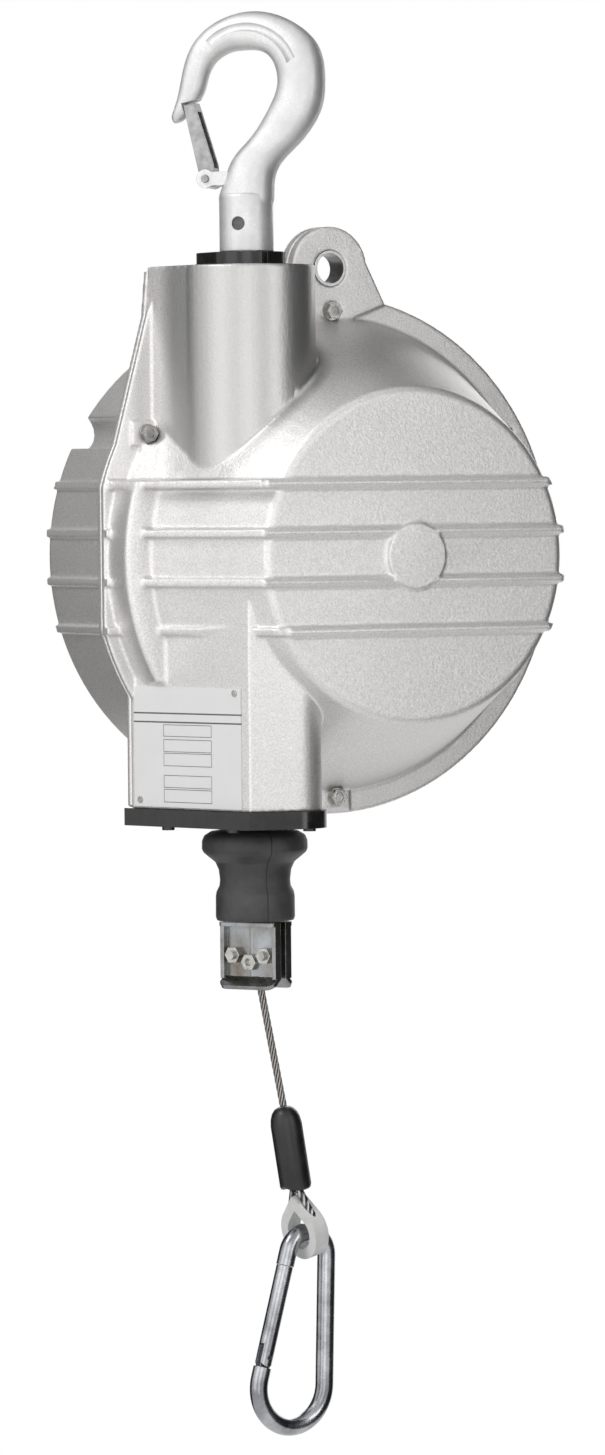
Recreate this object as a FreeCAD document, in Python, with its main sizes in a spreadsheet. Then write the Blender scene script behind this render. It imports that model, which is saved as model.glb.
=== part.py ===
import FreeCAD, Part
import math
import os
import Sketcher

# Spring tool balancer: a cast aluminium casing that hangs on a swivel hook and
# lets a steel rope down from a sprung drum. Origin at the hook's seat, where the
# crane ring bears; X to the right, Y to the back, Z up. Sizes in millimetres.

doc = FreeCAD.newDocument("tool_balancer")
sheet = doc.addObject("Spreadsheet::Sheet", "Dim")

SIZES = (
    # casing halves, measured from the drum's axis
    ("drum_x", 80.5), ("drum_z", -333), ("parting_y", 45),
    ("flange_radius", 174), ("flange_thick", 5), ("flange_left_x", -87), ("wall", 4.5),
    ("cup_base_radius", 159), ("cover_radius", 110), ("cover_y", -80.5), ("cover_round", 6),
    ("rear_radius", 162.5), ("rear_y", 140), ("rear_round", 10),
    ("rib_inner", 16.2), ("rib_outer", 48.2), ("rib_width", 6.3), ("rib_height", 3),
    ("boss_radius", 21.5), ("boss_height", 3.2),
    # neck, rope box and lobe
    ("neck_radius", 45), ("neck_top_z", -141), ("neck_roof", 15), ("neck_back_x", -51),
    ("box_top_z", -285), ("box_shoulder_z", -312), ("box_bottom_z", -498.5),
    ("box_back_x", -67), ("box_corner_x", -34), ("box_corner_y", -62),
    ("box_front_x", 24.5), ("box_front_y", -72), ("box_round", 22),
    ("lobe_radius", 165), ("lobe_front_y", 12), ("lobe_round", 4), ("lobe_rib_depth", 4),
    # safety lug over the drum's axis
    ("lug_x", 82), ("lug_z", -141.5), ("lug_radius", 28), ("lug_half_thick", 9),
    ("lug_bore_radius", 10), ("lug_bush_radius", 12),
    # flange bolts
    ("bolt_radius", 3), ("bolt_hole_radius", 3.3), ("bolt_head_flats", 10), ("bolt_head_height", 4),
    ("washer_radius", 6.2), ("washer_thick", 1.6), ("bolt_pad_radius", 12), ("bolt_pad_thick", 3),
    # bottom cover, guide bush and nameplate
    ("bottom_thick", 11.5), ("bottom_lip", 3.2), ("guide_radius", 12), ("guide_bore_radius", 4.5),
    ("plate_length", 100), ("plate_height", 79), ("plate_thick", 0.8), ("plate_start", 4.6),
    ("plate_bottom_z", -497), ("rivet_radius", 2.2), ("rivet_height", 0.9),
    # hook cap and swivel
    ("cap_radius", 25.5), ("cap_length", 17), ("cap_height", 9), ("shank_radius", 17.8),
    ("shank_top_z", -94), ("shank_bottom_z", -131.8), ("shank_round", 2),
    ("stem_radius", 12), ("stem_top_z", -98), ("stem_bottom_z", -186),
    ("thrust_outer", 24), ("thrust_thick", 8), ("nut_flats", 36), ("nut_height", 14),
    ("hook_turn", -46), ("cross_pin_radius", 4.5), ("cross_pin_z", -114),
    # drum, its bearings and its spring
    ("axle_radius", 12), ("bearing_radius", 26), ("bearing_width", 12), ("running_gap", 0.05),
    ("barrel_radius", 76.2), ("drum_flange_radius", 91), ("drum_half_width", 30), ("drum_flange_thick", 4),
    ("rope_x", 1.7), ("rope_radius", 2.5), ("rope_pitch", 5.4), ("rope_turns", 4),
    ("spring_case_radius", 118), ("spring_case_front", 36), ("spring_case_back", 100),
    ("spring_case_wall", 3), ("spring_outer", 108), ("spring_inner", 34),
    # bumper and rope clamp
    ("bumper_top_z", -512.9), ("bumper_bottom_z", -573.5), ("bumper_bore_radius", 3.4),
    ("clamp_half_width", 21.5), ("clamp_sheet", 2.8), ("clamp_gap", 2.9),
    ("clamp_reach", 15), ("clamp_web_z", -611.5), ("clamp_foot_slope", 35), ("clamp_turn", -60),
    ("clamp_bolt_x", 12), ("clamp_bolt_z", -596), ("clamp_bolt_radius", 3),
    # rope tail, sleeve and thimble
    ("rope_joint_z", -577), ("tail_corner_z", -602), ("sleeve_top_x", 21.3), ("sleeve_top_z", -698),
    ("sleeve_bottom_x", 30.5), ("sleeve_bottom_z", -754), ("sleeve_radius", 10.5),
    ("eye_x", 36.6), ("eye_z", -781.5), ("eye_inner", 11), ("eye_outer", 18),
    ("eye_rope", 15), ("eye_width", 11), ("eye_turn", -80),
    # spring hook (carabiner) 12 x 140
    ("snap_wire", 6), ("snap_top_radius", 16), ("snap_bottom_radius", 27), ("snap_top_z", -782.4),
    ("snap_x", 40.5), ("snap_y", 0.6),
    ("snap_length", 130), ("snap_turn", 8), ("snap_lean", 9), ("snap_nose", 10),
    ("snap_gate_length", 62), ("snap_gate_radius", 5.6), ("snap_pin_radius", 1.6),
)
for row, (alias, size) in enumerate(SIZES, start=1):
    sheet.set("A%d" % row, alias)
    sheet.set("B%d" % row, str(size))
    sheet.setAlias("B%d" % row, alias)
doc.recompute()

V = FreeCAD.Vector
ROTATIONS = {
    "X": FreeCAD.Rotation(V(0, 1, 0), 90),
    "Y": FreeCAD.Rotation(V(1, 0, 0), -90),
    "Z": FreeCAD.Rotation(),
}
NODES = []


def dim(alias):
    """A driving size from the sheet."""
    return float(sheet.get(alias))


def sized(formula):
    """The value of a formula written with the sheet's names as Dim.name."""
    return float(sheet.evalExpression(formula))


def place(item, base, axis="Z"):
    """Turns the item's own Z to an axis and binds its position to formulas."""
    item.Placement = FreeCAD.Placement(V(*(sized(part) for part in base)), ROTATIONS[axis])
    for letter, part in zip("xyz", base):
        item.setExpression("Placement.Base." + letter, part)
    return item


def cylinder(name, radius, height, base, axis="Z"):
    item = doc.addObject("Part::Cylinder", name)
    item.setExpression("Radius", radius)
    item.setExpression("Height", height)
    return place(item, base, axis)


def block(name, length, width, height, base):
    item = doc.addObject("Part::Box", name)
    item.setExpression("Length", length)
    item.setExpression("Width", width)
    item.setExpression("Height", height)
    return place(item, base)


def torus(name, radius, section, base, axis="Z"):
    item = doc.addObject("Part::Torus", name)
    item.setExpression("Radius1", radius)
    item.setExpression("Radius2", section)
    return place(item, base, axis)


def fused(name, items):
    item = doc.addObject("Part::MultiFuse", name)
    item.Shapes = items
    item.Refine = True
    return item


def cut(name, base, tool):
    item = doc.addObject("Part::Cut", name)
    item.Base = base
    item.Tool = tool
    return item


def common(name, base, tool):
    item = doc.addObject("Part::Common", name)
    item.Base = base
    item.Tool = tool
    return item


def outline(body, plane, corners):
    """A closed sketch of straight lines, each corner bound to two formulas."""
    sketch = body.newObject("Sketcher::SketchObject", body.Name + "_outline")
    found = [part for part in body.Origin.OriginFeatures if part.Role == plane]
    sketch.AttachmentSupport = (found[0], [""])
    sketch.MapMode = "FlatFace"
    points = [V(sized(across), sized(up), 0) for across, up in corners]
    for index, point in enumerate(points):
        sketch.addGeometry(Part.LineSegment(point, points[(index + 1) % len(points)]), False)
    for index in range(len(points)):
        sketch.addConstraint(Sketcher.Constraint("Coincident", index, 2, (index + 1) % len(points), 1))
    for index, (across, up) in enumerate(corners):
        for kind, formula in (("DistanceX", across), ("DistanceY", up)):
            number = sketch.addConstraint(Sketcher.Constraint(kind, index, 1, sized(formula)))
            sketch.setExpression("Constraints[%d]" % number, formula)
    return sketch


def turned(name, corners, base, axis="Z"):
    """A solid turned about its own Z from (radius, height) corners."""
    body = doc.addObject("PartDesign::Body", name)
    sketch = outline(body, "XZ_Plane", corners)
    spin = body.newObject("PartDesign::Revolution", name + "_turn")
    spin.Profile = sketch
    spin.ReferenceAxis = (sketch, ["V_Axis"])
    spin.Angle = 360
    return place(body, base, axis)


def slab(name, corners, bottom, height):
    """A flat-bottomed prism, its plan given as (x, y) corners."""
    body = doc.addObject("PartDesign::Body", name)
    sketch = outline(body, "XY_Plane", corners)
    pad = body.newObject("PartDesign::Pad", name + "_pad")
    pad.Profile = sketch
    pad.setExpression("Length", height)
    return place(body, ("0", "0", bottom))


def plate(name, corners, front, thick):
    """A plate square to Y, its face given as (x, z) corners."""
    body = doc.addObject("PartDesign::Body", name)
    sketch = outline(body, "XZ_Plane", corners)
    pad = body.newObject("PartDesign::Pad", name + "_pad")
    pad.Profile = sketch
    pad.Reversed = True
    pad.setExpression("Length", thick)
    return place(body, ("0", front, "0"))


def rounded(body, radius, chosen):
    """Rounds the edges of the body's tip that the test chooses."""
    doc.recompute()
    tip = body.Tip
    names = ["Edge%d" % number for number, edge in enumerate(tip.Shape.Edges, start=1) if chosen(edge)]
    fillet = body.newObject("PartDesign::Fillet", body.Name + "_round")
    fillet.Base = (tip, names)
    fillet.setExpression("Radius", radius)
    return body


def shaped(name, shape, placement=None):
    """A piece whose shape is made here, from the sheet's sizes."""
    item = doc.addObject("Part::Feature", name)
    item.Shape = shape
    if placement is not None:
        item.Placement = placement
    return item


def node(item, label):
    """Names the finished piece; its label is its file's name."""
    item.Label = label
    NODES.append(item)
    return item


def hexagon(name, flats, height, base, axis="Z"):
    item = doc.addObject("Part::Prism", name)
    item.Polygon = 6
    item.setExpression("Circumradius", "(%s) / 1.7320508" % flats)
    item.setExpression("Height", height)
    return place(item, base, axis)


def at_radius(edge, radius):
    """True for a circular edge of a given radius."""
    return hasattr(edge.Curve, "Radius") and abs(edge.Curve.Radius - radius) < 0.01


DRUM = ("Dim.drum_x", "0", "Dim.drum_z")
BOLTS = (("83.4", "-170"), ("-56", "-251"), ("83.4", "-495.5"))
REAR_BOLTS = (("222", "-251.5"), ("222", "-414.5"))


# Outer forms of the two casing halves
def cup_profile(grow):
    """The cup's profile about the drum's axis, larger by grow; height runs along Y."""
    return (
        ("0", "Dim.cover_y - %s" % grow),
        ("Dim.cover_radius + %s" % grow, "Dim.cover_y - %s" % grow),
        ("Dim.cup_base_radius + %s" % grow, "Dim.parting_y - Dim.flange_thick"),
        ("Dim.cup_base_radius + %s" % grow, "Dim.parting_y"),
        ("0", "Dim.parting_y"),
    )


def cup(name, grow, radius):
    body = turned(name, cup_profile(grow), DRUM, "Y")
    return rounded(body, radius, lambda edge: at_radius(edge, dim("cover_radius") + float(grow)))


def rear_can(name, grow):
    radius = "Dim.rear_radius + %s" % grow
    body = turned(name, (
        ("0", "Dim.parting_y"),
        (radius, "Dim.parting_y"),
        (radius, "Dim.rear_y + %s" % grow),
        ("0", "Dim.rear_y + %s" % grow),
    ), DRUM, "Y")
    height = dim("rear_y") + float(grow)
    return rounded(body, "Dim.rear_round", lambda edge: at_radius(edge, dim("rear_radius") + float(grow))
                   and abs(edge.CenterOfMass.z - height) < 0.01)


def lobe_drum():
    """The round drum that the lobe left of the rope box is sliced from."""
    body = turned("lobe_disc", (
        ("0", "Dim.lobe_front_y"),
        ("Dim.lobe_radius", "Dim.lobe_front_y"),
        ("Dim.lobe_radius", "Dim.parting_y"),
        ("0", "Dim.parting_y"),
    ), DRUM, "Y")
    front = dim("lobe_front_y")
    return rounded(body, "Dim.lobe_round", lambda edge: at_radius(edge, dim("lobe_radius"))
                   and abs(edge.CenterOfMass.z - front) < 0.01)


def rib_blocks(name, front, depth):
    """Four level ribs' slices across the whole casing."""
    slices = []
    for number, level in enumerate(("Dim.rib_outer", "Dim.rib_inner", "-Dim.rib_inner", "-Dim.rib_outer")):
        slices.append(block("%s_%d" % (name, number), "2 * Dim.flange_radius + 20", depth, "Dim.rib_width - 1",
                            ("Dim.drum_x - Dim.flange_radius - 10", front,
                             "Dim.drum_z + %s - Dim.rib_width / 2 + 0.5" % level)))
    return fused(name, slices)


def lug(name, front, thick):
    """The eye's disc and the cheek that carries it down to the flange."""
    disc = cylinder(name + "_disc", "Dim.lug_radius", thick, ("Dim.lug_x", front, "Dim.lug_z"), "Y")
    cheek = plate(name + "_cheek", (
        ("Dim.lug_x - 23.6", "Dim.lug_z + 12"), ("Dim.lug_x + 23.6", "Dim.lug_z + 12"),
        ("Dim.lug_x + 42", "Dim.lug_z - 24"), ("Dim.lug_x", "Dim.lug_z - 40"),
        ("Dim.lug_x - 42", "Dim.lug_z - 24")), front, thick)
    return [disc, cheek]


def flange(name, front):
    """A flange half: the disc trimmed flat on the left, with the wedge up to the neck."""
    disc = cylinder(name + "_disc", "Dim.flange_radius", "Dim.flange_thick",
                    ("Dim.drum_x", front, "Dim.drum_z"), "Y")
    trim = block(name + "_trim", "40", "40", "400",
                 ("Dim.flange_left_x - 40", "%s - 10" % front, "Dim.drum_z - 200"))
    wedge = plate(name + "_wedge", (
        ("-50", "Dim.neck_top_z - 20"), ("48", "Dim.neck_top_z - 20"), ("48", "Dim.drum_z"),
        ("Dim.flange_left_x + 1", "Dim.drum_z"), ("Dim.flange_left_x + 3", "Dim.box_top_z"),
    ), front, "Dim.flange_thick")
    foot = block(name + "_foot", "140", "40", "40",
                 ("Dim.box_front_x + Dim.bottom_lip + 0.5 - 140", "%s - 10" % front, "Dim.box_bottom_z - 40"))
    return [cut(name + "_round", disc, fused(name + "_trims", [trim, foot])), wedge]


def box_plan(inset):
    """Rope box plan, inset from its walls."""
    back = "Dim.box_back_x + %s" % inset
    return (
        (back, "Dim.parting_y"),
        ("Dim.box_corner_x + %s" % inset, "Dim.box_corner_y + %s" % inset),
        ("Dim.box_front_x - %s" % inset, "Dim.box_front_y + %s" % inset),
        ("Dim.box_front_x - %s" % inset, "Dim.parting_y"),
    )


def rope_box(name, inset, top, bottom, radius):
    body = slab(name, box_plan(inset), bottom, "%s - (%s)" % (top, bottom))
    corner = V(sized("Dim.box_front_x - %s" % inset), sized("Dim.box_front_y + %s" % inset), 0)

    def front_right(edge):
        middle = edge.CenterOfMass
        return abs(middle.x - corner.x) < 0.01 and abs(middle.y - corner.y) < 0.01

    return rounded(body, radius, front_right)


def ring_wire(points, height):
    corners = [V(x, y, height) for x, y in points]
    return Part.makePolygon(corners + corners[:1])


def shoulder():
    """The slope that leads from the neck's foot out to the rope box's walls."""
    low = [(sized(x), sized(y)) for x, y in box_plan("0")]
    high = [(-50, dim("parting_y")), (-30, -38), (20, -45), (dim("box_front_x"), dim("parting_y"))]
    loft = Part.makeLoft([ring_wire(low, dim("box_shoulder_z")), ring_wire(high, dim("box_top_z"))], True, True)
    return shaped("shoulder", loft)


def neck(name, radius, top, left):
    post = cylinder(name + "_post", radius, "%s - Dim.box_shoulder_z" % top, ("0", "0", "Dim.box_shoulder_z"))
    back = slab(name + "_back", (
        ("-(%s)" % radius, "0"), (radius, "0"), ("%s + 1" % radius, "Dim.parting_y"), (left, "Dim.parting_y"),
    ), "Dim.box_shoulder_z", "%s - Dim.box_shoulder_z" % top)
    return [post, back]


def web(name, level):
    """A level gusset between the lobe and the cup, outside the rope box's wall."""
    return slab(name, (
        ("-77", "Dim.lobe_front_y + 6"), ("-34", "Dim.cover_y - 1"), ("20", "Dim.cover_y - 1"),
        ("20", "Dim.lobe_front_y + 6"),
    ), "Dim.drum_z + %s - Dim.rib_width / 2 + 0.4" % level, "Dim.rib_width - 0.8")


def cover_rib(name, level, left, right):
    """A half-round rib over the cup's cover."""
    return cylinder(name, "Dim.rib_width / 2", "%s - (%s)" % (right, left),
                    (left, "Dim.cover_y", "Dim.drum_z + %s" % level), "X")


def bolt_pads(name, centres, front):
    pads = []
    for number, (x, z) in enumerate(centres):
        pads.append(block("%s_%d" % (name, number), "22", "Dim.bolt_pad_thick", "16",
                          ("%s - 11" % x, front, "%s - 8" % z)))
    return pads


def bolt_holes(name, centres, radius, front, depth):
    return [cylinder("%s_%d" % (name, number), radius, depth, (x, front, z), "Y")
            for number, (x, z) in enumerate(centres)]


def front_casing():
    ribs = common("cup_ribs", cup("cup_grown", "3", "Dim.cover_round + 3"),
                  rib_blocks("cup_slices", "Dim.cover_y - 1", "Dim.parting_y - Dim.cover_y - 4"))
    lobe_slice = block("lobe_slice", "100", "80", "130", ("-90", "0", "Dim.box_top_z - 130"))
    lobe_ribs = []
    for number, level in enumerate(("Dim.rib_inner", "-Dim.rib_inner", "-Dim.rib_outer")):
        lobe_ribs.append(block("lobe_rib_%d" % number, "60", "Dim.flange_thick + Dim.lobe_rib_depth",
                               "Dim.rib_width - 1",
                               ("Dim.flange_left_x", "Dim.parting_y - Dim.flange_thick - Dim.lobe_rib_depth",
                                "Dim.drum_z + %s - Dim.rib_width / 2 + 0.5" % level)))
    reach = "Dim.drum_x + sqrt(Dim.cover_radius ^ 2 - Dim.%s ^ 2) + 1.5"
    outer = [
        cup("cup", "0", "Dim.cover_round"),
        ribs,
        common("lobe", lobe_drum(), lobe_slice),
        rope_box("rope_box", "0", "Dim.box_shoulder_z", "Dim.box_bottom_z", "Dim.box_round"),
        shoulder(),
        web("web_top", "Dim.rib_outer"), web("web_high", "Dim.rib_inner"), web("web_low", "-Dim.rib_inner"),
        cover_rib("rib_1", "Dim.rib_outer", "-30", reach % "rib_outer"),
        cover_rib("rib_2", "Dim.rib_inner", "-33", reach % "rib_inner"),
        cover_rib("rib_3", "-Dim.rib_inner", "-33", reach % "rib_inner"),
        cover_rib("rib_4", "-Dim.rib_outer", "Dim.drum_x - 95", reach % "rib_outer"),
        cylinder("boss", "Dim.boss_radius", "Dim.boss_height + 1",
                 ("Dim.drum_x", "Dim.cover_y - Dim.boss_height", "Dim.drum_z"), "Y"),
        slab("top_ledge", (("Dim.flange_left_x + 1", "Dim.parting_y"), ("-77", "Dim.lobe_front_y"),
                           ("20", "Dim.lobe_front_y"), ("20", "Dim.parting_y")),
             "Dim.box_top_z - Dim.rib_width / 2", "Dim.rib_width"),
    ]
    outer += neck("neck", "Dim.neck_radius", "Dim.neck_top_z", "Dim.neck_back_x")
    outer += flange("front_flange", "Dim.parting_y - Dim.flange_thick")
    outer += lug("front_lug", "Dim.parting_y - Dim.lug_half_thick", "Dim.lug_half_thick")
    outer += lobe_ribs
    outer += bolt_pads("front_pad", BOLTS, "Dim.parting_y - Dim.flange_thick - Dim.bolt_pad_thick")
    body = fused("front_outer", outer)
    hollow = turned("cup_hollow", (
        ("0", "Dim.cover_y + Dim.wall"),
        ("Dim.cover_radius - Dim.wall", "Dim.cover_y + Dim.wall"),
        ("Dim.cup_base_radius - Dim.wall", "Dim.parting_y - Dim.flange_thick"),
        ("Dim.cup_base_radius - Dim.wall", "Dim.parting_y + 1"),
        ("0", "Dim.parting_y + 1"),
    ), DRUM, "Y")
    axle_seat = cylinder("axle_seat", "Dim.axle_radius + 8", "14",
                         ("Dim.drum_x", "Dim.cover_y + Dim.wall - 1", "Dim.drum_z"), "Y")
    axle_bore = cylinder("axle_bore", "Dim.axle_radius", "200",
                         ("Dim.drum_x", "Dim.cover_y + Dim.wall", "Dim.drum_z"),
                         "Y")
    neck_space = neck("neck_space", "Dim.neck_radius - Dim.wall", "Dim.neck_top_z - Dim.neck_roof",
                      "Dim.neck_back_x + Dim.wall + 1")
    box_space = rope_box("box_space", "Dim.wall", "Dim.box_shoulder_z", "Dim.box_bottom_z - 1",
                         "Dim.box_round - Dim.wall")
    stem_bore = cylinder("stem_bore", "Dim.stem_radius + Dim.running_gap", "60",
                         ("0", "0", "Dim.neck_top_z - 40"))
    lug_bore = cylinder("front_lug_bore", "Dim.lug_bush_radius", "40",
                        ("Dim.lug_x", "Dim.parting_y - 30", "Dim.lug_z"),
                        "Y")
    holes = bolt_holes("front_hole", BOLTS, "Dim.bolt_hole_radius", "20", "40")
    holes += bolt_holes("front_tapped", REAR_BOLTS, "Dim.bolt_radius", "Dim.parting_y - 8", "20")
    holes += bolt_holes("spot_face", BOLTS, "Dim.washer_radius + 0.6",
                        "Dim.parting_y - Dim.flange_thick - Dim.bolt_pad_thick - 16", "16")
    spaces = fused("front_spaces", [cut("cup_clear", hollow, axle_seat), box_space, lug_bore, stem_bore]
                   + neck_space + holes)
    opened = cut("front_opened", body, spaces)
    node(cut("front_casing", opened, axle_bore), "front_casing")


def rear_casing():
    ribs = common("rear_ribs", rear_can("rear_grown", "3"),
                  rib_blocks("rear_slices", "Dim.parting_y + 1", "Dim.rear_y - Dim.parting_y - 8"))
    outer = [rear_can("rear_can", "0"), ribs]
    outer += flange("rear_flange", "Dim.parting_y")
    outer += lug("rear_lug", "Dim.parting_y", "Dim.lug_half_thick")
    outer.append(plate("back_plate", (
        ("Dim.neck_back_x", "Dim.neck_top_z - 3"), ("48", "Dim.neck_top_z - 3"),
        ("48", "Dim.drum_z"), ("Dim.box_front_x", "Dim.box_bottom_z + 0.5"),
        ("Dim.box_back_x", "Dim.box_bottom_z + 0.5"), ("Dim.box_back_x", "Dim.drum_z"),
    ), "Dim.parting_y", "Dim.flange_thick"))
    body = fused("rear_outer", outer)
    relief = bolt_holes("relief", BOLTS + REAR_BOLTS, "Dim.bolt_pad_radius",
                        "Dim.parting_y + Dim.flange_thick", "100")
    pillars = bolt_holes("pillar", BOLTS + REAR_BOLTS, "Dim.bolt_pad_radius + Dim.wall", "0", "200")
    cavity = turned("rear_hollow", (
        ("0", "Dim.parting_y - 1"),
        ("Dim.rear_radius - Dim.wall", "Dim.parting_y - 1"),
        ("Dim.rear_radius - Dim.wall", "Dim.rear_y - Dim.wall"),
        ("0", "Dim.rear_y - Dim.wall"),
    ), DRUM, "Y")
    axle_seat = cylinder("rear_axle_seat", "Dim.axle_radius + 8", "18",
                         ("Dim.drum_x", "Dim.rear_y - Dim.wall - 16", "Dim.drum_z"), "Y")
    axle_bore = cylinder("rear_axle_bore", "Dim.axle_radius", "300", ("Dim.drum_x", "0", "Dim.drum_z"), "Y")
    lug_bore = cylinder("rear_lug_bore", "Dim.lug_bush_radius", "60",
                        ("Dim.lug_x", "Dim.parting_y - 10", "Dim.lug_z"),
                        "Y")
    holes = bolt_holes("rear_hole", BOLTS + REAR_BOLTS, "Dim.bolt_hole_radius", "Dim.parting_y - 10", "40")
    hollow = cut("rear_clear", cavity, fused("rear_keep", pillars + [axle_seat]))
    opened = cut("rear_opened", body, fused("rear_spaces", [hollow, axle_bore, lug_bore] + holes + relief))
    node(opened, "rear_casing")


def lug_bush():
    bush = cylinder("bush_outer", "Dim.lug_bush_radius", "2 * Dim.lug_half_thick + 1",
                    ("Dim.lug_x", "Dim.parting_y - Dim.lug_half_thick - 0.5", "Dim.lug_z"), "Y")
    bore = cylinder("bush_bore", "Dim.lug_bore_radius", "60",
                    ("Dim.lug_x", "Dim.parting_y - 30", "Dim.lug_z"), "Y")
    node(cut("lug_bush", bush, bore), "lug_bush")


def bolts():
    """Hex bolts through both flanges, heads on the front save for the two at the right."""
    front = "Dim.parting_y - Dim.flange_thick - Dim.bolt_pad_thick - Dim.washer_thick"
    parts, washers, nuts = [], [], []
    for number, (x, z) in enumerate(BOLTS):
        head = hexagon("head_%d" % number, "Dim.bolt_head_flats", "Dim.bolt_head_height",
                       (x, "%s - Dim.bolt_head_height" % front, z), "Y")
        dish = cylinder("head_dish_%d" % number, "2.9", "1.1",
                        (x, "%s - Dim.bolt_head_height" % front, z), "Y")
        shank = cylinder("shank_%d" % number, "Dim.bolt_radius", "28", (x, front, z), "Y")
        parts.append(fused("bolt_%d" % number, [cut("dished_%d" % number, head, dish), shank]))
        disc = cylinder("washer_disc_%d" % number, "Dim.washer_radius", "Dim.washer_thick",
                        (x, front, z), "Y")
        hole = cylinder("washer_hole_%d" % number, "Dim.bolt_radius", "10", (x, "%s - 4" % front, z), "Y")
        washers.append(cut("washer_%d" % number, disc, hole))
        nut = hexagon("nut_%d" % number, "Dim.bolt_head_flats", "6.5",
                      (x, "Dim.parting_y + Dim.flange_thick", z), "Y")
        bore = cylinder("nut_bore_%d" % number, "Dim.bolt_radius", "40", (x, "Dim.parting_y", z), "Y")
        nuts.append(cut("cut_nut_%d" % number, nut, bore))
    back = "Dim.parting_y + Dim.flange_thick"
    for number, (x, z) in enumerate(REAR_BOLTS, start=len(BOLTS)):
        head = hexagon("head_%d" % number, "Dim.bolt_head_flats", "Dim.bolt_head_height", (x, back, z), "Y")
        shank = cylinder("shank_%d" % number, "Dim.bolt_radius", "9.5 + Dim.bolt_head_height",
                         (x, "%s - 9.5" % back, z),
                         "Y")
        parts.append(fused("bolt_%d" % number, [head, shank]))
    for name, solids in (("casing_bolts", parts), ("casing_washers", washers), ("casing_nuts", nuts)):
        group = doc.addObject("Part::Compound", name)
        group.Links = solids
        node(group, name)


def bottom_cover():
    lip = "(-Dim.bottom_lip)"
    corners = list(box_plan(lip))
    corners[0] = (corners[0][0], "Dim.parting_y + Dim.bottom_lip")
    corners[3] = (corners[3][0], "Dim.parting_y + Dim.bottom_lip")
    body = slab("bottom_plate", corners, "Dim.box_bottom_z - Dim.bottom_thick", "Dim.bottom_thick")
    corner = V(sized(corners[2][0]), sized(corners[2][1]), 0)
    rounded(body, "Dim.box_round + Dim.bottom_lip", lambda edge: abs(edge.CenterOfMass.x - corner.x) < 0.01
            and abs(edge.CenterOfMass.y - corner.y) < 0.01)
    bore = cylinder("bottom_bore", "Dim.guide_radius", "60", ("Dim.rope_x", "0", "Dim.box_bottom_z - 30"))
    node(cut("bottom_cover", body, bore), "bottom_cover")
    screws = []
    for number, (x, y) in enumerate((("-52", "20"), ("-34", "-38"), ("16", "-50"), ("16", "25"))):
        screws.append(cylinder("cover_screw_%d" % number, "4.2", "2.6",
                               (x, y, "Dim.box_bottom_z - Dim.bottom_thick - 2.6")))
    group = doc.addObject("Part::Compound", "cover_screws")
    group.Links = screws
    node(group, "bottom_cover_screws")


def guide_bush():
    low = "Dim.box_bottom_z - Dim.bottom_thick"
    node(turned("guide_bush", (
        ("Dim.guide_bore_radius", low),
        ("Dim.guide_radius", low),
        ("Dim.guide_radius", "Dim.box_bottom_z"),
        ("Dim.guide_radius + 5", "Dim.box_bottom_z"),
        ("Dim.guide_radius + 5", "Dim.box_bottom_z + 4"),
        ("Dim.guide_bore_radius", "Dim.box_bottom_z + 4"),
    ), ("Dim.rope_x", "0", "0")), "rope_guide_bush")


def nameplate():
    """A bare riveted plate on the rope box's left wall, at that wall's angle."""
    along = V(dim("box_corner_x") - dim("box_back_x"), dim("box_corner_y") - dim("parting_y"), 0).normalize()
    outward = V(along.y, -along.x, 0)
    start = V(dim("box_back_x"), dim("parting_y"), dim("plate_bottom_z"))
    start += along * dim("plate_start") + outward * 0.02
    plate_solid = Part.makeBox(dim("plate_length"), dim("plate_height"), dim("plate_thick"))
    frame = FreeCAD.Placement(start, FreeCAD.Rotation(along, V(0, 0, 1), outward, "XYZ"))
    node(shaped("nameplate", plate_solid, frame), "nameplate")
    heads = []
    for across, up in ((5.5, 4.5), (dim("plate_length") - 5.5, dim("plate_height") - 3)):
        dome = Part.makeCylinder(dim("rivet_radius"), dim("rivet_height"), V(across, up, dim("plate_thick")))
        heads.append(dome.makeFillet(0.5, [edge for edge in dome.Edges if edge.CenterOfMass.z
                                           > dim("plate_thick") + dim("rivet_height") - 0.01
                                           and hasattr(edge.Curve, "Radius")]))
    node(shaped("nameplate_rivets", Part.makeCompound(heads), frame), "nameplate_rivets")


def stadium(name, radius, height, base_z):
    near = cylinder(name + "_near", radius, height, ("0", "0", base_z))
    far = cylinder(name + "_far", radius, height, ("0", "Dim.cap_length", base_z))
    middle = block(name + "_middle", "2 * (%s)" % radius, "Dim.cap_length", height,
                   ("-(%s)" % radius, "0", base_z))
    return fused(name, [near, far, middle])


def hook_cap():
    ring = stadium("cap_ring", "Dim.cap_radius", "Dim.cap_height - 0.5", "Dim.neck_top_z")
    bore = cylinder("cap_bore", "Dim.stem_radius + 1", "40", ("0", "0", "Dim.neck_top_z - 10"))
    notch = block("cap_notch", "4", "20", "20", ("-2", "-Dim.cap_radius - 15", "Dim.neck_top_z - 1"))
    node(cut("hook_cap", cut("cap_drilled", ring, bore), notch), "hook_cap")


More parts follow.
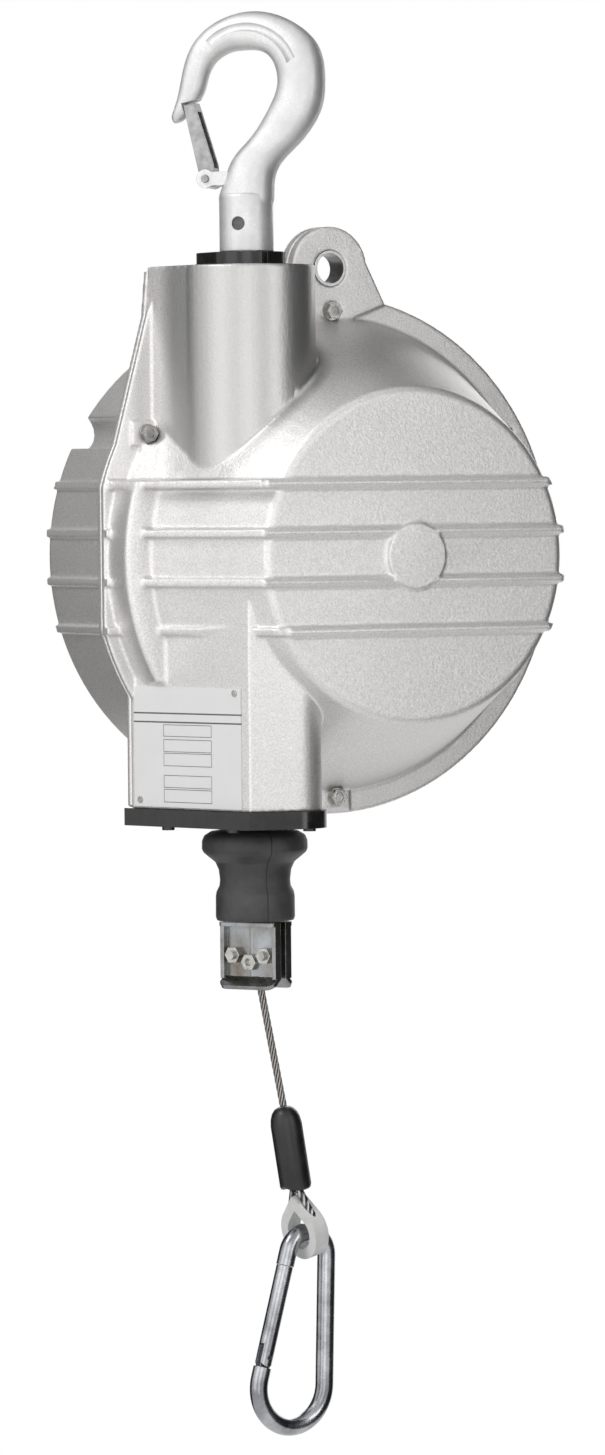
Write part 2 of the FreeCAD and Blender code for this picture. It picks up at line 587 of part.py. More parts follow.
def swivel():
    """Stem with its collar, hung on a thrust bearing under the neck's roof."""
    roof = "Dim.neck_top_z - Dim.neck_roof"
    bar = cylinder("stem_bar", "Dim.stem_radius", "Dim.stem_top_z - Dim.stem_bottom_z",
                   ("0", "0", "Dim.stem_bottom_z"))
    drill = Part.makeCylinder(dim("cross_pin_radius"), 60, V(0, 30, dim("cross_pin_z")), V(0, -1, 0))
    node(cut("swivel_stem", bar, shaped("stem_drill", drill, hook_frame())), "swivel_stem")
    node(turned("thrust_bearing", (
        ("Dim.stem_radius + 0.4", "%s - Dim.thrust_thick" % roof),
        ("Dim.thrust_outer", "%s - Dim.thrust_thick" % roof),
        ("Dim.thrust_outer", roof),
        ("Dim.stem_radius + 0.4", roof),
    ), ("0", "0", "0")), "thrust_bearing")
    nut = hexagon("stem_nut_hex", "Dim.nut_flats", "Dim.nut_height",
                  ("0", "0", "%s - Dim.thrust_thick - 0.4 - Dim.nut_height" % roof))
    bore = cylinder("stem_nut_bore", "Dim.stem_radius", "60", ("0", "0", "%s - 50" % roof))
    node(cut("stem_nut", nut, bore), "stem_nut")


HOOK_STATIONS = (
    # inner edge, outer edge (across, up) and thickness through the hook
    ((-17.0, -101), (17.4, -101), 29.6),
    ((-15.9, -91), (18.7, -91), 29.5),
    ((-12.6, -82), (19.6, -82.5), 29.5),
    ((-8.5, -72.5), (23.5, -74.5), 29.5),
    ((3.8, -58.5), (36.5, -61.5), 30),
    ((14.0, -44.5), (47.0, -48.5), 30),
    ((21.0, -31.5), (53.0, -35.0), 30),
    ((23.6, -22.0), (54.4, -18.0), 29),
    ((21.0, -9.0), (49.5, 3.0), 27),
    ((12.5, -1.2), (32.0, 18.5), 25),
    ((-1.4, 0.0), (4.5, 25.4), 24),
    ((-11.8, -1.8), (-21.5, 17.5), 23),
    ((-21.4, -8.5), (-36.5, 2.4), 21),
    ((-26.0, -18.0), (-42.6, -14.5), 19.5),
    ((-28.8, -27.0), (-46.6, -31.5), 18),
    ((-35.0, -36.5), (-50.0, -40.5), 15),
    ((-43.5, -44.6), (-49.0, -46.6), 9),
)


CHEEK_FLATNESS = 0.8


def hook_section(inner, outer, thick):
    """A flat-cheeked section between the hook's inner and outer edge."""
    start = V(inner[0], 0, inner[1])
    end = V(outer[0], 0, outer[1])
    across = end - start
    middle = (start + end) * 0.5
    half_width = across.Length / 2
    half_thick = thick / 2
    across.normalize()
    side = V(0, 1, 0)
    points = []
    for step in range(16):
        angle = 2 * math.pi * step / 16
        wide, deep = math.cos(angle), math.sin(angle)
        wide = math.copysign(abs(wide) ** CHEEK_FLATNESS, wide)
        deep = math.copysign(abs(deep) ** CHEEK_FLATNESS, deep)
        points.append(middle + across * half_width * wide + side * half_thick * deep)
    curve = Part.BSplineCurve()
    curve.interpolate(points + points[:1])
    return Part.Wire([curve.toShape()])


def hook_frame():
    return FreeCAD.Placement(V(0, 0, 0), FreeCAD.Rotation(V(0, 0, 1), dim("hook_turn")))


LATCH_PIVOT = (-25.0, -84.0)
LATCH_TOP = (-36.6, -34.4)


LATCH_SEAT_HEIGHT = 52.4


def latch_frame():
    pivot = V(LATCH_PIVOT[0], 0, LATCH_PIVOT[1])
    top = V(LATCH_TOP[0], 0, LATCH_TOP[1])
    return FreeCAD.Placement(pivot, FreeCAD.Rotation(V(0, 0, 1), top - pivot))


def suspension_hook():
    sections = [hook_section(*station) for station in HOOK_STATIONS]
    hook = Part.makeLoft(sections, True, False)
    shank = Part.makeCylinder(dim("shank_radius"), dim("shank_top_z") - dim("shank_bottom_z"),
                              V(0, 0, dim("shank_bottom_z")))
    top_edge = [edge for edge in shank.Edges if abs(edge.CenterOfMass.z - dim("shank_top_z")) < 0.01]
    shank = shank.makeFillet(dim("shank_round"), top_edge)
    boss = Part.makeCylinder(6.2, 20, V(LATCH_PIVOT[0], 10, LATCH_PIVOT[1]), V(0, -1, 0))
    arm = Part.makeBox(16, 20, 9, V(LATCH_PIVOT[0] - 0.5, -10, LATCH_PIVOT[1] - 4.5))
    hook = hook.fuse([shank, boss, arm])
    slot = Part.makeBox(21, 13, 20, V(LATCH_PIVOT[0] - 9, -6.5, LATCH_PIVOT[1] - 10))
    seat = Part.makeBox(20, 40, 30, V(-5, -20, -30))
    seat.Placement = latch_frame().multiply(FreeCAD.Placement(V(0, 0, LATCH_SEAT_HEIGHT), FreeCAD.Rotation()))
    pin_hole = Part.makeCylinder(2.5, 60, V(LATCH_PIVOT[0], 30, LATCH_PIVOT[1]), V(0, -1, 0))
    stem = Part.makeCylinder(dim("stem_radius"), dim("stem_top_z") + 140, V(0, 0, -140))
    cross = Part.makeCylinder(dim("cross_pin_radius"), 80, V(0, 40, dim("cross_pin_z")), V(0, -1, 0))
    mark = Part.Wire([Part.Arc(V(-21.5, 0, 5), V(8, 0, 14.5), V(36, 0, -8)).toShape()])
    round_tool = Part.Wire([Part.makeCircle(3.2, V(-21.5, 0, 5), V(0.55, 0, 0.83))])
    recess = mark.makePipeShell([round_tool], True, False)
    recess.translate(V(0, -13.2, 0))
    hook = hook.cut([slot, seat, pin_hole, stem, cross, recess])
    node(shaped("suspension_hook", hook.removeSplitter(), hook_frame()), "suspension_hook")
    pin = Part.makeCylinder(dim("cross_pin_radius"), 2 * dim("shank_radius") - 3,
                            V(0, dim("shank_radius") - 1.5, dim("cross_pin_z")), V(0, -1, 0))
    node(shaped("hook_cross_pin", pin, hook_frame()), "hook_cross_pin")
    rivet = Part.makeCylinder(2.4, 23, V(LATCH_PIVOT[0], 11.5, LATCH_PIVOT[1]), V(0, -1, 0))
    node(shaped("latch_pin", rivet, hook_frame()), "latch_pin")


def hook_latch():
    """A pressed channel, open towards the shank, from the pivot up to the hook's point."""
    length = (V(LATCH_TOP[0], 0, LATCH_TOP[1]) - V(LATCH_PIVOT[0], 0, LATCH_PIVOT[1])).Length
    back, sheet_thick, half = -4.6, 1.8, 6
    side = [V(back, -half, 0), V(back, -half, length), V(3, -half, length), V(3.6, -half, length - 6),
            V(6.4, -half, 8), V(5, -half, 0)]
    cheek = Part.Face(Part.makePolygon(side + side[:1])).extrude(V(0, 2 * half, 0))
    hollow = Part.makeBox(20, 2 * (half - sheet_thick), length - 12,
                          V(back + sheet_thick, sheet_thick - half, 6))
    knuckle = Part.makeCylinder(4.6, 2 * half, V(0, half, 0), V(0, -1, 0))
    latch = cheek.cut(hollow).fuse(knuckle)
    latch = latch.cut(Part.makeCylinder(2.45, 30, V(0, 15, 0), V(0, -1, 0)))
    latch.Placement = latch_frame()
    node(shaped("hook_latch", Part.makeCompound([latch]).Solids[0], hook_frame().multiply(latch.Placement)),
         "hook_latch")


def drum_set():
    """Axle, bearings, grooved drum with its turns, and the spring in its case."""
    node(cylinder("drum_axle", "Dim.axle_radius", "Dim.rear_y + 4 - (Dim.cover_y + Dim.wall)",
                  ("Dim.drum_x", "Dim.cover_y + Dim.wall", "Dim.drum_z"), "Y"), "drum_axle")
    rings = []
    for number, front in enumerate(("-Dim.drum_half_width + 1", "Dim.drum_half_width - Dim.bearing_width - 1")):
        rings.append(turned("bearing_%d" % number, (
            ("Dim.axle_radius", front),
            ("Dim.bearing_radius", front),
            ("Dim.bearing_radius", "%s + Dim.bearing_width" % front),
            ("Dim.axle_radius", "%s + Dim.bearing_width" % front),
        ), DRUM, "Y"))
    group = doc.addObject("Part::Compound", "bearing_pair")
    group.Links = rings
    node(group, "drum_bearings")
    edge = "Dim.drum_half_width"
    inner = "Dim.drum_half_width - Dim.drum_flange_thick"
    bore = "Dim.bearing_radius + Dim.running_gap"
    node(turned("rope_drum", (
        (bore, "-(%s)" % edge), ("Dim.drum_flange_radius", "-(%s)" % edge),
        ("Dim.drum_flange_radius", "-(%s)" % inner), ("Dim.barrel_radius", "-(%s)" % inner),
        ("Dim.barrel_radius", inner), ("Dim.drum_flange_radius", inner),
        ("Dim.drum_flange_radius", edge), (bore, edge),
    ), DRUM, "Y"), "rope_drum")
    turns = []
    for number in range(1, int(dim("rope_turns")) + 1):
        for side in (1, -1):
            turns.append(torus("turn_%d_%d" % (number, side + 1), "Dim.drum_x - Dim.rope_x", "Dim.rope_radius",
                               ("Dim.drum_x", "%d * (Dim.rope_pitch * %d)" % (side, number), "Dim.drum_z"), "Y"))
    coil = doc.addObject("Part::Compound", "wound_turns")
    coil.Links = turns
    node(coil, "rope_windings")
    front, back = "Dim.spring_case_front", "Dim.spring_case_back"
    skin = "Dim.spring_case_wall"
    rim = "Dim.spring_case_radius"
    hub = "Dim.axle_radius"
    node(turned("spring_case", (
        (hub, front), (rim, front), (rim, back), (hub, back), (hub, "%s - %s" % (back, skin)),
        ("%s - %s" % (rim, skin), "%s - %s" % (back, skin)), ("%s - %s" % (rim, skin), "%s + %s" % (front, skin)),
        (hub, "%s + %s" % (front, skin)),
    ), DRUM, "Y"), "spring_case")
    node(turned("power_spring", (
        ("Dim.spring_inner", "%s + %s + 3" % (front, skin)), ("Dim.spring_outer", "%s + %s + 3" % (front, skin)),
        ("Dim.spring_outer", "%s - %s - 3" % (back, skin)), ("Dim.spring_inner", "%s - %s - 3" % (back, skin)),
    ), DRUM, "Y"), "power_spring")


def bumper():
    top, low = "Dim.bumper_top_z", "Dim.bumper_bottom_z"
    bore = "Dim.bumper_bore_radius"
    node(turned("rubber_bumper", (
        (bore, top), ("24", top), ("30", "%s - 1.2" % top), ("33.4", "%s - 3.6" % top), ("35", "%s - 7" % top),
        ("35", "%s - 14" % top), ("33", "%s - 16" % top), ("27", "%s - 20.5" % top), ("24", "%s - 26" % top),
        ("23", "%s - 33" % top), ("23.4", "%s - 37" % top),
        ("25.6", "%s + 19.5" % low), ("26.2", "%s + 16" % low),
        ("26.2", "%s + 2" % low), ("25", low), (bore, low),
    ), ("Dim.rope_x", "0", "0")), "rubber_bumper")


def clamp_frame():
    return FreeCAD.Placement(V(dim("rope_x"), 0, 0), FreeCAD.Rotation(V(0, 0, 1), dim("clamp_turn")))


def rounded_tab(length, depth, sheet_thick, corner):
    """A flange with its two free corners rounded, growing along +Y from the X axis."""
    tab = Part.makeBox(length, depth, sheet_thick, V(-length / 2, 0, 0))
    free = [edge for edge in tab.Edges if edge.BoundBox.YMin > depth / 2 and edge.BoundBox.XLength < 0.01]
    return tab.makeFillet(corner, free)


def clamp_plate(name, side):
    """Half of the pressed clamp: a web along the rope, its head and its sloping foot turned out."""
    half = dim("clamp_half_width")
    sheet_thick = dim("clamp_sheet")
    gap = dim("clamp_gap")
    top = dim("bumper_bottom_z") - 0.6
    bottom = dim("clamp_web_z")
    web_box = Part.makeBox(2 * half, sheet_thick, top - bottom, V(-half, gap, bottom))
    sides = (-half, half - sheet_thick)
    cheeks = [Part.makeBox(sheet_thick, 7, top - bottom, V(x, gap, bottom)) for x in sides]
    foot = rounded_tab(2 * half, dim("clamp_reach") - gap, sheet_thick, 6)
    slope = FreeCAD.Rotation(V(1, 0, 0), -dim("clamp_foot_slope"))
    foot.Placement = FreeCAD.Placement(V(0, gap, bottom), slope)
    head = rounded_tab(2 * half, 10, sheet_thick, 3)
    head.Placement = FreeCAD.Placement(V(0, gap, top - sheet_thick), FreeCAD.Rotation())
    bulge = Part.makeCylinder(5.8, top - bottom, V(0, 0, bottom))
    bulge = bulge.common(Part.makeBox(20, 20, 80, V(-10, gap - 0.3, bottom)))
    solid = web_box.fuse(cheeks + [foot, head, bulge])
    solid = solid.cut(Part.makeBox(4 * half, 40, 60, V(-2 * half, gap - 40, bottom - 20)))
    solid = solid.cut(Part.makeCylinder(3.2, 100, V(0, 0, bottom - 20)))
    for x in (-dim("clamp_bolt_x"), dim("clamp_bolt_x")):
        solid = solid.cut(Part.makeCylinder(3.3, 60, V(x, 30, dim("clamp_bolt_z")), V(0, -1, 0)))
    if side < 0:
        solid = solid.mirror(V(0, 0, 0), V(0, 1, 0))
    solid = solid.removeSplitter()
    solid.Placement = clamp_frame().multiply(solid.Placement)
    corner = V(dim("rope_x"), 0, dim("tail_corner_z"))
    lean = V(dim("sleeve_top_x"), 0, dim("sleeve_top_z")) - corner
    solid = solid.cut(Part.makeCylinder(3.4, 60, corner, lean))
    node(shaped(name, solid), name)


def hex_solid(flats, height, base, direction):
    radius = flats / math.sqrt(3)
    turns = [math.pi / 3 * step for step in range(6)]
    corners = [V(radius * math.cos(turn), radius * math.sin(turn), 0) for turn in turns]
    prism = Part.Face(Part.makePolygon(corners + corners[:1])).extrude(V(0, 0, height))
    prism.Placement = FreeCAD.Placement(base, FreeCAD.Rotation(V(0, 0, 1), direction))
    return prism


SET_NUT_BASE = 5.8
SET_NUT_Z = -600.5


def clamp_fixings():
    heads, nuts = [], []
    face = dim("clamp_gap") + dim("clamp_sheet")
    for x in (-dim("clamp_bolt_x"), dim("clamp_bolt_x")):
        base = V(x, face, dim("clamp_bolt_z"))
        head = hex_solid(10, 4, base, V(0, 1, 0))
        heads.append(head.fuse(Part.makeCylinder(dim("clamp_bolt_radius"), 2 * face + 8, V(x, face, base.z),
                                                 V(0, -1, 0))))
        nut = hex_solid(10, 5, V(x, -face, base.z), V(0, -1, 0))
        nuts.append(nut.cut(Part.makeCylinder(dim("clamp_bolt_radius"), 40, V(x, 20, base.z), V(0, -1, 0))))
    middle = hex_solid(10, 4, V(0, -SET_NUT_BASE, SET_NUT_Z), V(0, -1, 0))
    nuts.append(middle.cut(Part.makeCylinder(2.6, 3, V(0, -SET_NUT_BASE - 1.2, SET_NUT_Z), V(0, -1, 0))))
    node(shaped("clamp_bolts", Part.makeCompound(heads), clamp_frame()), "clamp_bolts")
    node(shaped("clamp_nuts", Part.makeCompound(nuts), clamp_frame()), "clamp_nuts")


def tube(points, radius):
    """Straight runs joined by arcs tangent to both; prints each arc's radius."""
    edges = []
    last = points[0]
    for before, here, after in zip(points, points[1:], points[2:]):
        back = (before - here)
        ahead = (after - here)
        shorter = min(back.Length, ahead.Length)
        back.normalize()
        ahead.normalize()
        half_turn = (math.pi - back.getAngle(ahead)) / 2
        reach = 0.45 * shorter
        arc_radius = reach / math.tan(half_turn)
        first, final = here + back * reach, here + ahead * reach
        inward = (back + ahead).normalize()
        middle = here + inward * (arc_radius / math.cos(half_turn) - arc_radius)
        edges.append(Part.LineSegment(last, first).toShape())
        edges.append(Part.Arc(first, middle, final).toShape())
        last = final
        print("rope bend radius %.1f" % arc_radius)
    edges.append(Part.LineSegment(last, points[-1]).toShape())
    path = Part.Wire(edges)
    section = Part.Wire([Part.makeCircle(radius, points[0], points[1] - points[0])])
    solid = path.makePipeShell([section], True, False)
    print("rope volume ratio %.4f" % (solid.Volume / (path.Length * math.pi * radius ** 2)))
    return solid


def ropes():
    node(cylinder("rope_upper", "Dim.rope_radius", "Dim.drum_z - Dim.rope_joint_z",
                  ("Dim.rope_x", "0", "Dim.rope_joint_z")),
         "rope_upper")
    route = [V(dim("rope_x"), 0, dim("rope_joint_z")), V(dim("rope_x"), 0, dim("tail_corner_z")),
             V(dim("sleeve_top_x"), 0, dim("sleeve_top_z"))]
    node(shaped("rope_tail", tube(route, dim("rope_radius"))), "rope_tail")


def sleeve():
    """Moulded rubber sleeve over the pressed ferrule."""
    start = V(dim("sleeve_top_x"), 0, dim("sleeve_top_z"))
    end = V(dim("sleeve_bottom_x"), 0, dim("sleeve_bottom_z"))
    along = end - start
    length = along.Length
    profile = [V(0, 0, 0), V(4.2, 0, 0.2), V(6.4, 0, 1.4), V(8.4, 0, 3.8), V(9.8, 0, 7.4),
               V(dim("sleeve_radius"), 0, 12), V(dim("sleeve_radius"), 0, length - 2),
               V(dim("sleeve_radius") - 1, 0, length), V(0, 0, length)]
    solid = Part.Face(Part.makePolygon(profile + profile[:1])).revolve(V(0, 0, 0), V(0, 0, 1), 360)
    node(shaped("ferrule_sleeve", solid, FreeCAD.Placement(start, FreeCAD.Rotation(V(0, 0, 1), along))),
         "ferrule_sleeve")


def teardrop(radius, top):
    """Drop outline about the eye: a round foot with tangents up to a point."""
    centre = V(dim("eye_x"), 0, dim("eye_z"))
    span = top - centre
    swing = math.acos(radius / span.Length)
    lean = math.atan2(span.z, span.x)
    right = centre + V(math.cos(lean - swing), 0, math.sin(lean - swing)) * radius
    left = centre + V(math.cos(lean + swing), 0, math.sin(lean + swing)) * radius
    foot = centre - span.normalize() * radius
    return left, foot, right


def thimble():
    """Nylon thimble with the rope's eye lying in its groove."""
    apex = V(dim("sleeve_bottom_x"), 0, dim("sleeve_bottom_z"))
    half = dim("eye_width") / 2

    def drop(radius, top, thick):
        left, foot, right = teardrop(radius, top)
        wire = Part.Wire([Part.LineSegment(top, left).toShape(), Part.Arc(left, foot, right).toShape(),
                          Part.LineSegment(right, top).toShape()])
        face = Part.Face(wire)
        face.translate(V(0, -thick, 0))
        return face.extrude(V(0, 2 * thick, 0))

    along = (V(dim("eye_x"), 0, dim("eye_z")) - apex).normalize()
    outer = drop(dim("eye_outer"), apex + along * 3, half)
    inner = drop(dim("eye_inner"), apex + along * 13, half + 1)
    left, foot, right = teardrop(dim("eye_rope"), apex - along * 2)
    side = V(-along.z, 0, along.x)
    start = apex + side * (-3.4) + along * 0.05
    finish = apex + side * 3.4 + along * 0.05
    if (start - left).Length > (finish - left).Length:
        start, finish = finish, start
    left, foot, right = teardrop(dim("eye_rope"), start)[0], foot, teardrop(dim("eye_rope"), finish)[2]
    path = Part.Wire([Part.LineSegment(start, left).toShape(), Part.Arc(left, foot, right).toShape(),
                      Part.LineSegment(right, finish).toShape()])

    def cord(radius):
        section = Part.Wire([Part.makeCircle(radius, start, left - start)])
        return path.makePipeShell([section], True, False)

    body = outer.cut(inner).cut(cord(dim("rope_radius") + 0.15))
    biggest = max(body.Solids, key=lambda solid: solid.Volume)
    turn = FreeCAD.Placement(V(0, 0, 0), FreeCAD.Rotation(along, -dim("eye_turn")), apex)
    node(shaped("thimble", biggest, turn), "thimble")
    node(shaped("rope_eye", cord(dim("rope_radius")), turn), "rope_eye")


def carabiner():
    """Wire spring hook through the thimble, with its sprung gate on the left leg."""
    wire = dim("snap_wire")
    top_r, low_r = dim("snap_top_radius"), dim("snap_bottom_radius")
    reach = dim("snap_length") - top_r - low_r
    top = V(0, 0, -top_r)
    low = V(0, 0, -top_r - reach)
    slope = math.asin((low_r - top_r) / reach)
    normal_right = V(math.cos(slope), 0, math.sin(slope))
    normal_left = V(-math.cos(slope), 0, math.sin(slope))
    right_top, right_low = top + normal_right * top_r, low + normal_right * low_r
    left_top, left_low = top + normal_left * top_r, low + normal_left * low_r
    down = (left_low - left_top).normalize()
    nose = left_top + down * dim("snap_nose")
    pivot = nose + down * dim("snap_gate_length")
    frame_end = pivot + down * 7
    path = Part.Wire([
        Part.LineSegment(nose, left_top).toShape(), Part.Arc(left_top, V(0, 0, 0), right_top).toShape(),
        Part.LineSegment(right_top, right_low).toShape(),
        Part.Arc(right_low, low - V(0, 0, low_r), left_low).toShape(),
        Part.LineSegment(left_low, frame_end).toShape(),
    ])
    section = Part.Wire([Part.makeCircle(wire, nose, left_top - nose)])
    frame = path.makePipeShell([section], True, False)
    tongue = Part.makeBox(8, 5, 14, V(-4, -2.5, -7))
    turn = FreeCAD.Rotation(V(0, 0, -1), down)
    tongue.Placement = FreeCAD.Placement(pivot, turn)
    frame = frame.fuse(tongue)
    eye = Part.makeCylinder(dim("snap_pin_radius"), 30, pivot + V(0, 15, 0), V(0, -1, 0))
    frame = frame.cut(eye)
    gate_start = nose + down * 0.4
    gate = Part.makeCylinder(dim("snap_gate_radius"), dim("snap_gate_length") + 6 - 0.4, gate_start, down)
    slot = Part.makeBox(24, 5.8, 17, V(-12, -2.9, -8.5))
    slot.Placement = FreeCAD.Placement(pivot, turn)
    gate = gate.cut(slot)
    corners = Part.makeBox(24, 24, 12, V(-12, -12, -12))
    corners.Placement = FreeCAD.Placement(pivot, turn)
    corners = corners.cut(Part.makeCylinder(6.1, 24, pivot + V(0, 12, 0), V(0, -1, 0)))
    gate = gate.cut(corners)
    gate = gate.cut(Part.makeCylinder(dim("snap_pin_radius") + 0.05, 30, pivot + V(0, 15, 0), V(0, -1, 0)))
    gate = gate.removeSplitter()
    pin = Part.makeCylinder(dim("snap_pin_radius"), 11, pivot + V(0, 5.5, 0), V(0, -1, 0))
    hang = FreeCAD.Placement(V(dim("snap_x"), dim("snap_y"), dim("snap_top_z")),
                             FreeCAD.Rotation(V(0, 0, 1), dim("snap_turn")).multiply(
                                 FreeCAD.Rotation(V(0, 1, 0), dim("snap_lean"))))
    print("gate pivot", hang.multVec(pivot), "gate axis", hang.Rotation.multVec(V(0, 1, 0)))
    node(shaped("carabiner_frame", frame.removeSplitter(), hang), "carabiner_frame")
    node(shaped("carabiner_gate", gate, hang), "carabiner_gate")
    node(shaped("gate_pin", pin, hang), "gate_pin")


front_casing()
rear_casing()
lug_bush()
bolts()
bottom_cover()
guide_bush()
nameplate()
hook_cap()
swivel()
suspension_hook()
hook_latch()
drum_set()
bumper()
clamp_plate("clamp_plate_front", -1)
clamp_plate("clamp_plate_rear", 1)
clamp_fixings()
ropes()
sleeve()
thimble()
carabiner()
doc.recompute()

# Every object has to be sound before anything is written
failed = [item.Name for item in doc.Objects if set(item.State) & {"Invalid", "Error"}]
failed += [item.Label for item in NODES if item.Shape.isNull() or not item.Shape.isValid()]
if failed:
    raise SystemExit("failed: " + ", ".join(failed))
os.makedirs("parts", exist_ok=True)
for item in NODES:
    item.Shape.exportStep("parts/%s.step" % item.Label)
    box = item.Shape.BoundBox
    print("%-20s %3d solids %9.0f mm3  x %.0f..%.0f y %.0f..%.0f z %.0f..%.0f" % (
        item.Label, len(item.Shape.Solids), item.Shape.Volume,
        box.XMin, box.XMax, box.YMin, box.YMax, box.ZMin, box.ZMax))
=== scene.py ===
import math

import bmesh
import bpy
from mathutils import Matrix, Vector


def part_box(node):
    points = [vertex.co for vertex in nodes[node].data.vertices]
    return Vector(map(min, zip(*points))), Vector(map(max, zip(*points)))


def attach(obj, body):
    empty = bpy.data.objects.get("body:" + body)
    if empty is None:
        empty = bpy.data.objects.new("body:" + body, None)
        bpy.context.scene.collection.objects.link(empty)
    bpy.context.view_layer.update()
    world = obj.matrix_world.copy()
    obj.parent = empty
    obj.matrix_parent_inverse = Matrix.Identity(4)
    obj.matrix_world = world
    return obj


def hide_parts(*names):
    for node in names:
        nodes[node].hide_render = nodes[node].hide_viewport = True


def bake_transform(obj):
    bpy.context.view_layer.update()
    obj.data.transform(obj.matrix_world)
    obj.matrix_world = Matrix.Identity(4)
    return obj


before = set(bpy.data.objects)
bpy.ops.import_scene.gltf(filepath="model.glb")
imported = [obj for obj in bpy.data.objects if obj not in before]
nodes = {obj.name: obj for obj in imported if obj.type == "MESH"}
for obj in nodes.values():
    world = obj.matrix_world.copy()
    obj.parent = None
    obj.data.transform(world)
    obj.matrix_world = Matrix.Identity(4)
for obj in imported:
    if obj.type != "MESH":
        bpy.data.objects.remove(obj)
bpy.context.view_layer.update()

# Studio. The pale floor lies below the load at its full two metres down. Three soft
# boxes stand in front, one hangs high on the left and one stands behind; black
# flags at the sides and above give the metal its dark edges.
yaw = math.radians(28.29)
roll = math.radians(0.55)
distance = 4.462
across = Vector((math.cos(yaw), -math.sin(yaw), 0))
ahead = Vector((math.sin(yaw), math.cos(yaw), 0))
upright = Vector((0, 0, 1))
tilted_across = across * math.cos(roll) - upright * math.sin(roll)
tilted_up = across * math.sin(roll) + upright * math.cos(roll)
drum_x, drum_z = 0.0805, -0.333
drum_height = upright * drum_z
sideways = tilted_across * 0.03488
eye_rise, aim_rise = 0.05547, -0.1127
eye_point = sideways + tilted_up * eye_rise + drum_height - ahead * distance
aim_point = sideways + tilted_up * aim_rise + drum_height
back = (eye_point - aim_point).normalized()
camera_up = (tilted_up - back * tilted_up.dot(back)).normalized()
camera_right = camera_up.cross(back)
camera_data = bpy.data.cameras.new("camera")
camera_data.lens = 167.3
camera_data.sensor_width = 36
camera_data.clip_end = 50
camera = bpy.data.objects.new("camera", camera_data)
camera.matrix_world = Matrix((
    (camera_right.x, camera_up.x, back.x, eye_point.x),
    (camera_right.y, camera_up.y, back.y, eye_point.y),
    (camera_right.z, camera_up.z, back.z, eye_point.z),
    (0, 0, 0, 1),
))
scene = bpy.context.scene
scene.collection.objects.link(camera)
scene.camera = camera
scene.view_settings.view_transform = "Standard"


class Value:
    """A shader socket that ordinary arithmetic adds Math nodes to."""

    def __init__(self, look, socket):
        self.look = look
        self.socket = socket

    def math(self, operation, *others):
        operands = dict(enumerate((self,) + others))
        return self.look.node("ShaderNodeMath", {"operation": operation}, operands)

    def __add__(self, other):
        return self.math("ADD", other)

    __radd__ = __add__

    def __mul__(self, other):
        return self.math("MULTIPLY", other)

    __rmul__ = __mul__

    def __sub__(self, other):
        return self.math("SUBTRACT", other)

    def __rsub__(self, other):
        return (self * -1).math("ADD", other)

    def __truediv__(self, other):
        return self.math("DIVIDE", other)

    def __gt__(self, other):
        return self.math("GREATER_THAN", other)

    def __lt__(self, other):
        return self.math("LESS_THAN", other)


class Look:
    """One procedural material; node() adds any node, its settings first."""

    def __init__(self, name, **fixed):
        self.material = bpy.data.materials.new(name)
        self.material.use_nodes = True
        self.tree = self.material.node_tree
        self.shader = self.tree.nodes["Principled BSDF"]
        for socket, value in fixed.items():
            self.shader.inputs[socket.replace("_", " ")].default_value = value

    def node(self, kind, settings=None, inputs=None, output=0):
        made = self.tree.nodes.new(kind)
        for key, value in (settings or {}).items():
            if key == "stops":
                ramp = made.color_ramp
                while len(ramp.elements) < len(value):
                    ramp.elements.new(0.5)
                for element, (position, colour) in zip(ramp.elements, value):
                    element.position = position
                    element.color = colour
            else:
                setattr(made, key, value)
        for key, value in (inputs or {}).items():
            if isinstance(value, Value):
                self.tree.links.new(value.socket, made.inputs[key])
            else:
                made.inputs[key].default_value = value
        return Value(self, made.outputs[output])

    def place(self):
        """Where the point is on the object, in metres."""
        return self.node("ShaderNodeTexCoord", output="Object")

    def parts(self, vector):
        split = self.node("ShaderNodeSeparateXYZ", None, {0: vector}).socket.node
        return [Value(self, socket) for socket in split.outputs]

    def noise(self, scale, detail=2.0, rough=0.5, vector=None):
        where = vector or self.place()
        inputs = {"Vector": where, "Scale": scale, "Detail": detail, "Roughness": rough}
        return self.node("ShaderNodeTexNoise", None, inputs, "Fac")

    def ramp(self, factor, *stops):
        return self.node("ShaderNodeValToRGB", {"stops": stops}, {"Fac": factor})

    def mix(self, factor, low, high):
        """Blends two colours; the Mix node keeps its colour sockets at 6, 7 and 2."""
        mixer = self.node("ShaderNodeMix", {"data_type": "RGBA"}, {"Factor": factor}).socket.node
        for socket, value in ((mixer.inputs[6], low), (mixer.inputs[7], high)):
            if isinstance(value, Value):
                self.tree.links.new(value.socket, socket)
            else:
                socket.default_value = value
        return Value(self, mixer.outputs[2])

    def feed(self, socket, value):
        self.tree.links.new(value.socket, self.shader.inputs[socket])

    def bump(self, height, depth, strength=1.0, round_edges=0.0):
        inputs = {"Height": height, "Distance": depth, "Strength": strength}
        if round_edges:
            inputs["Normal"] = self.node("ShaderNodeBevel", {"samples": 4}, {"Radius": round_edges})
        self.feed("Normal", self.node("ShaderNodeBump", None, inputs))


def grey(level, warmth=0.0):
    return (level + warmth, level, level - warmth, 1.0)


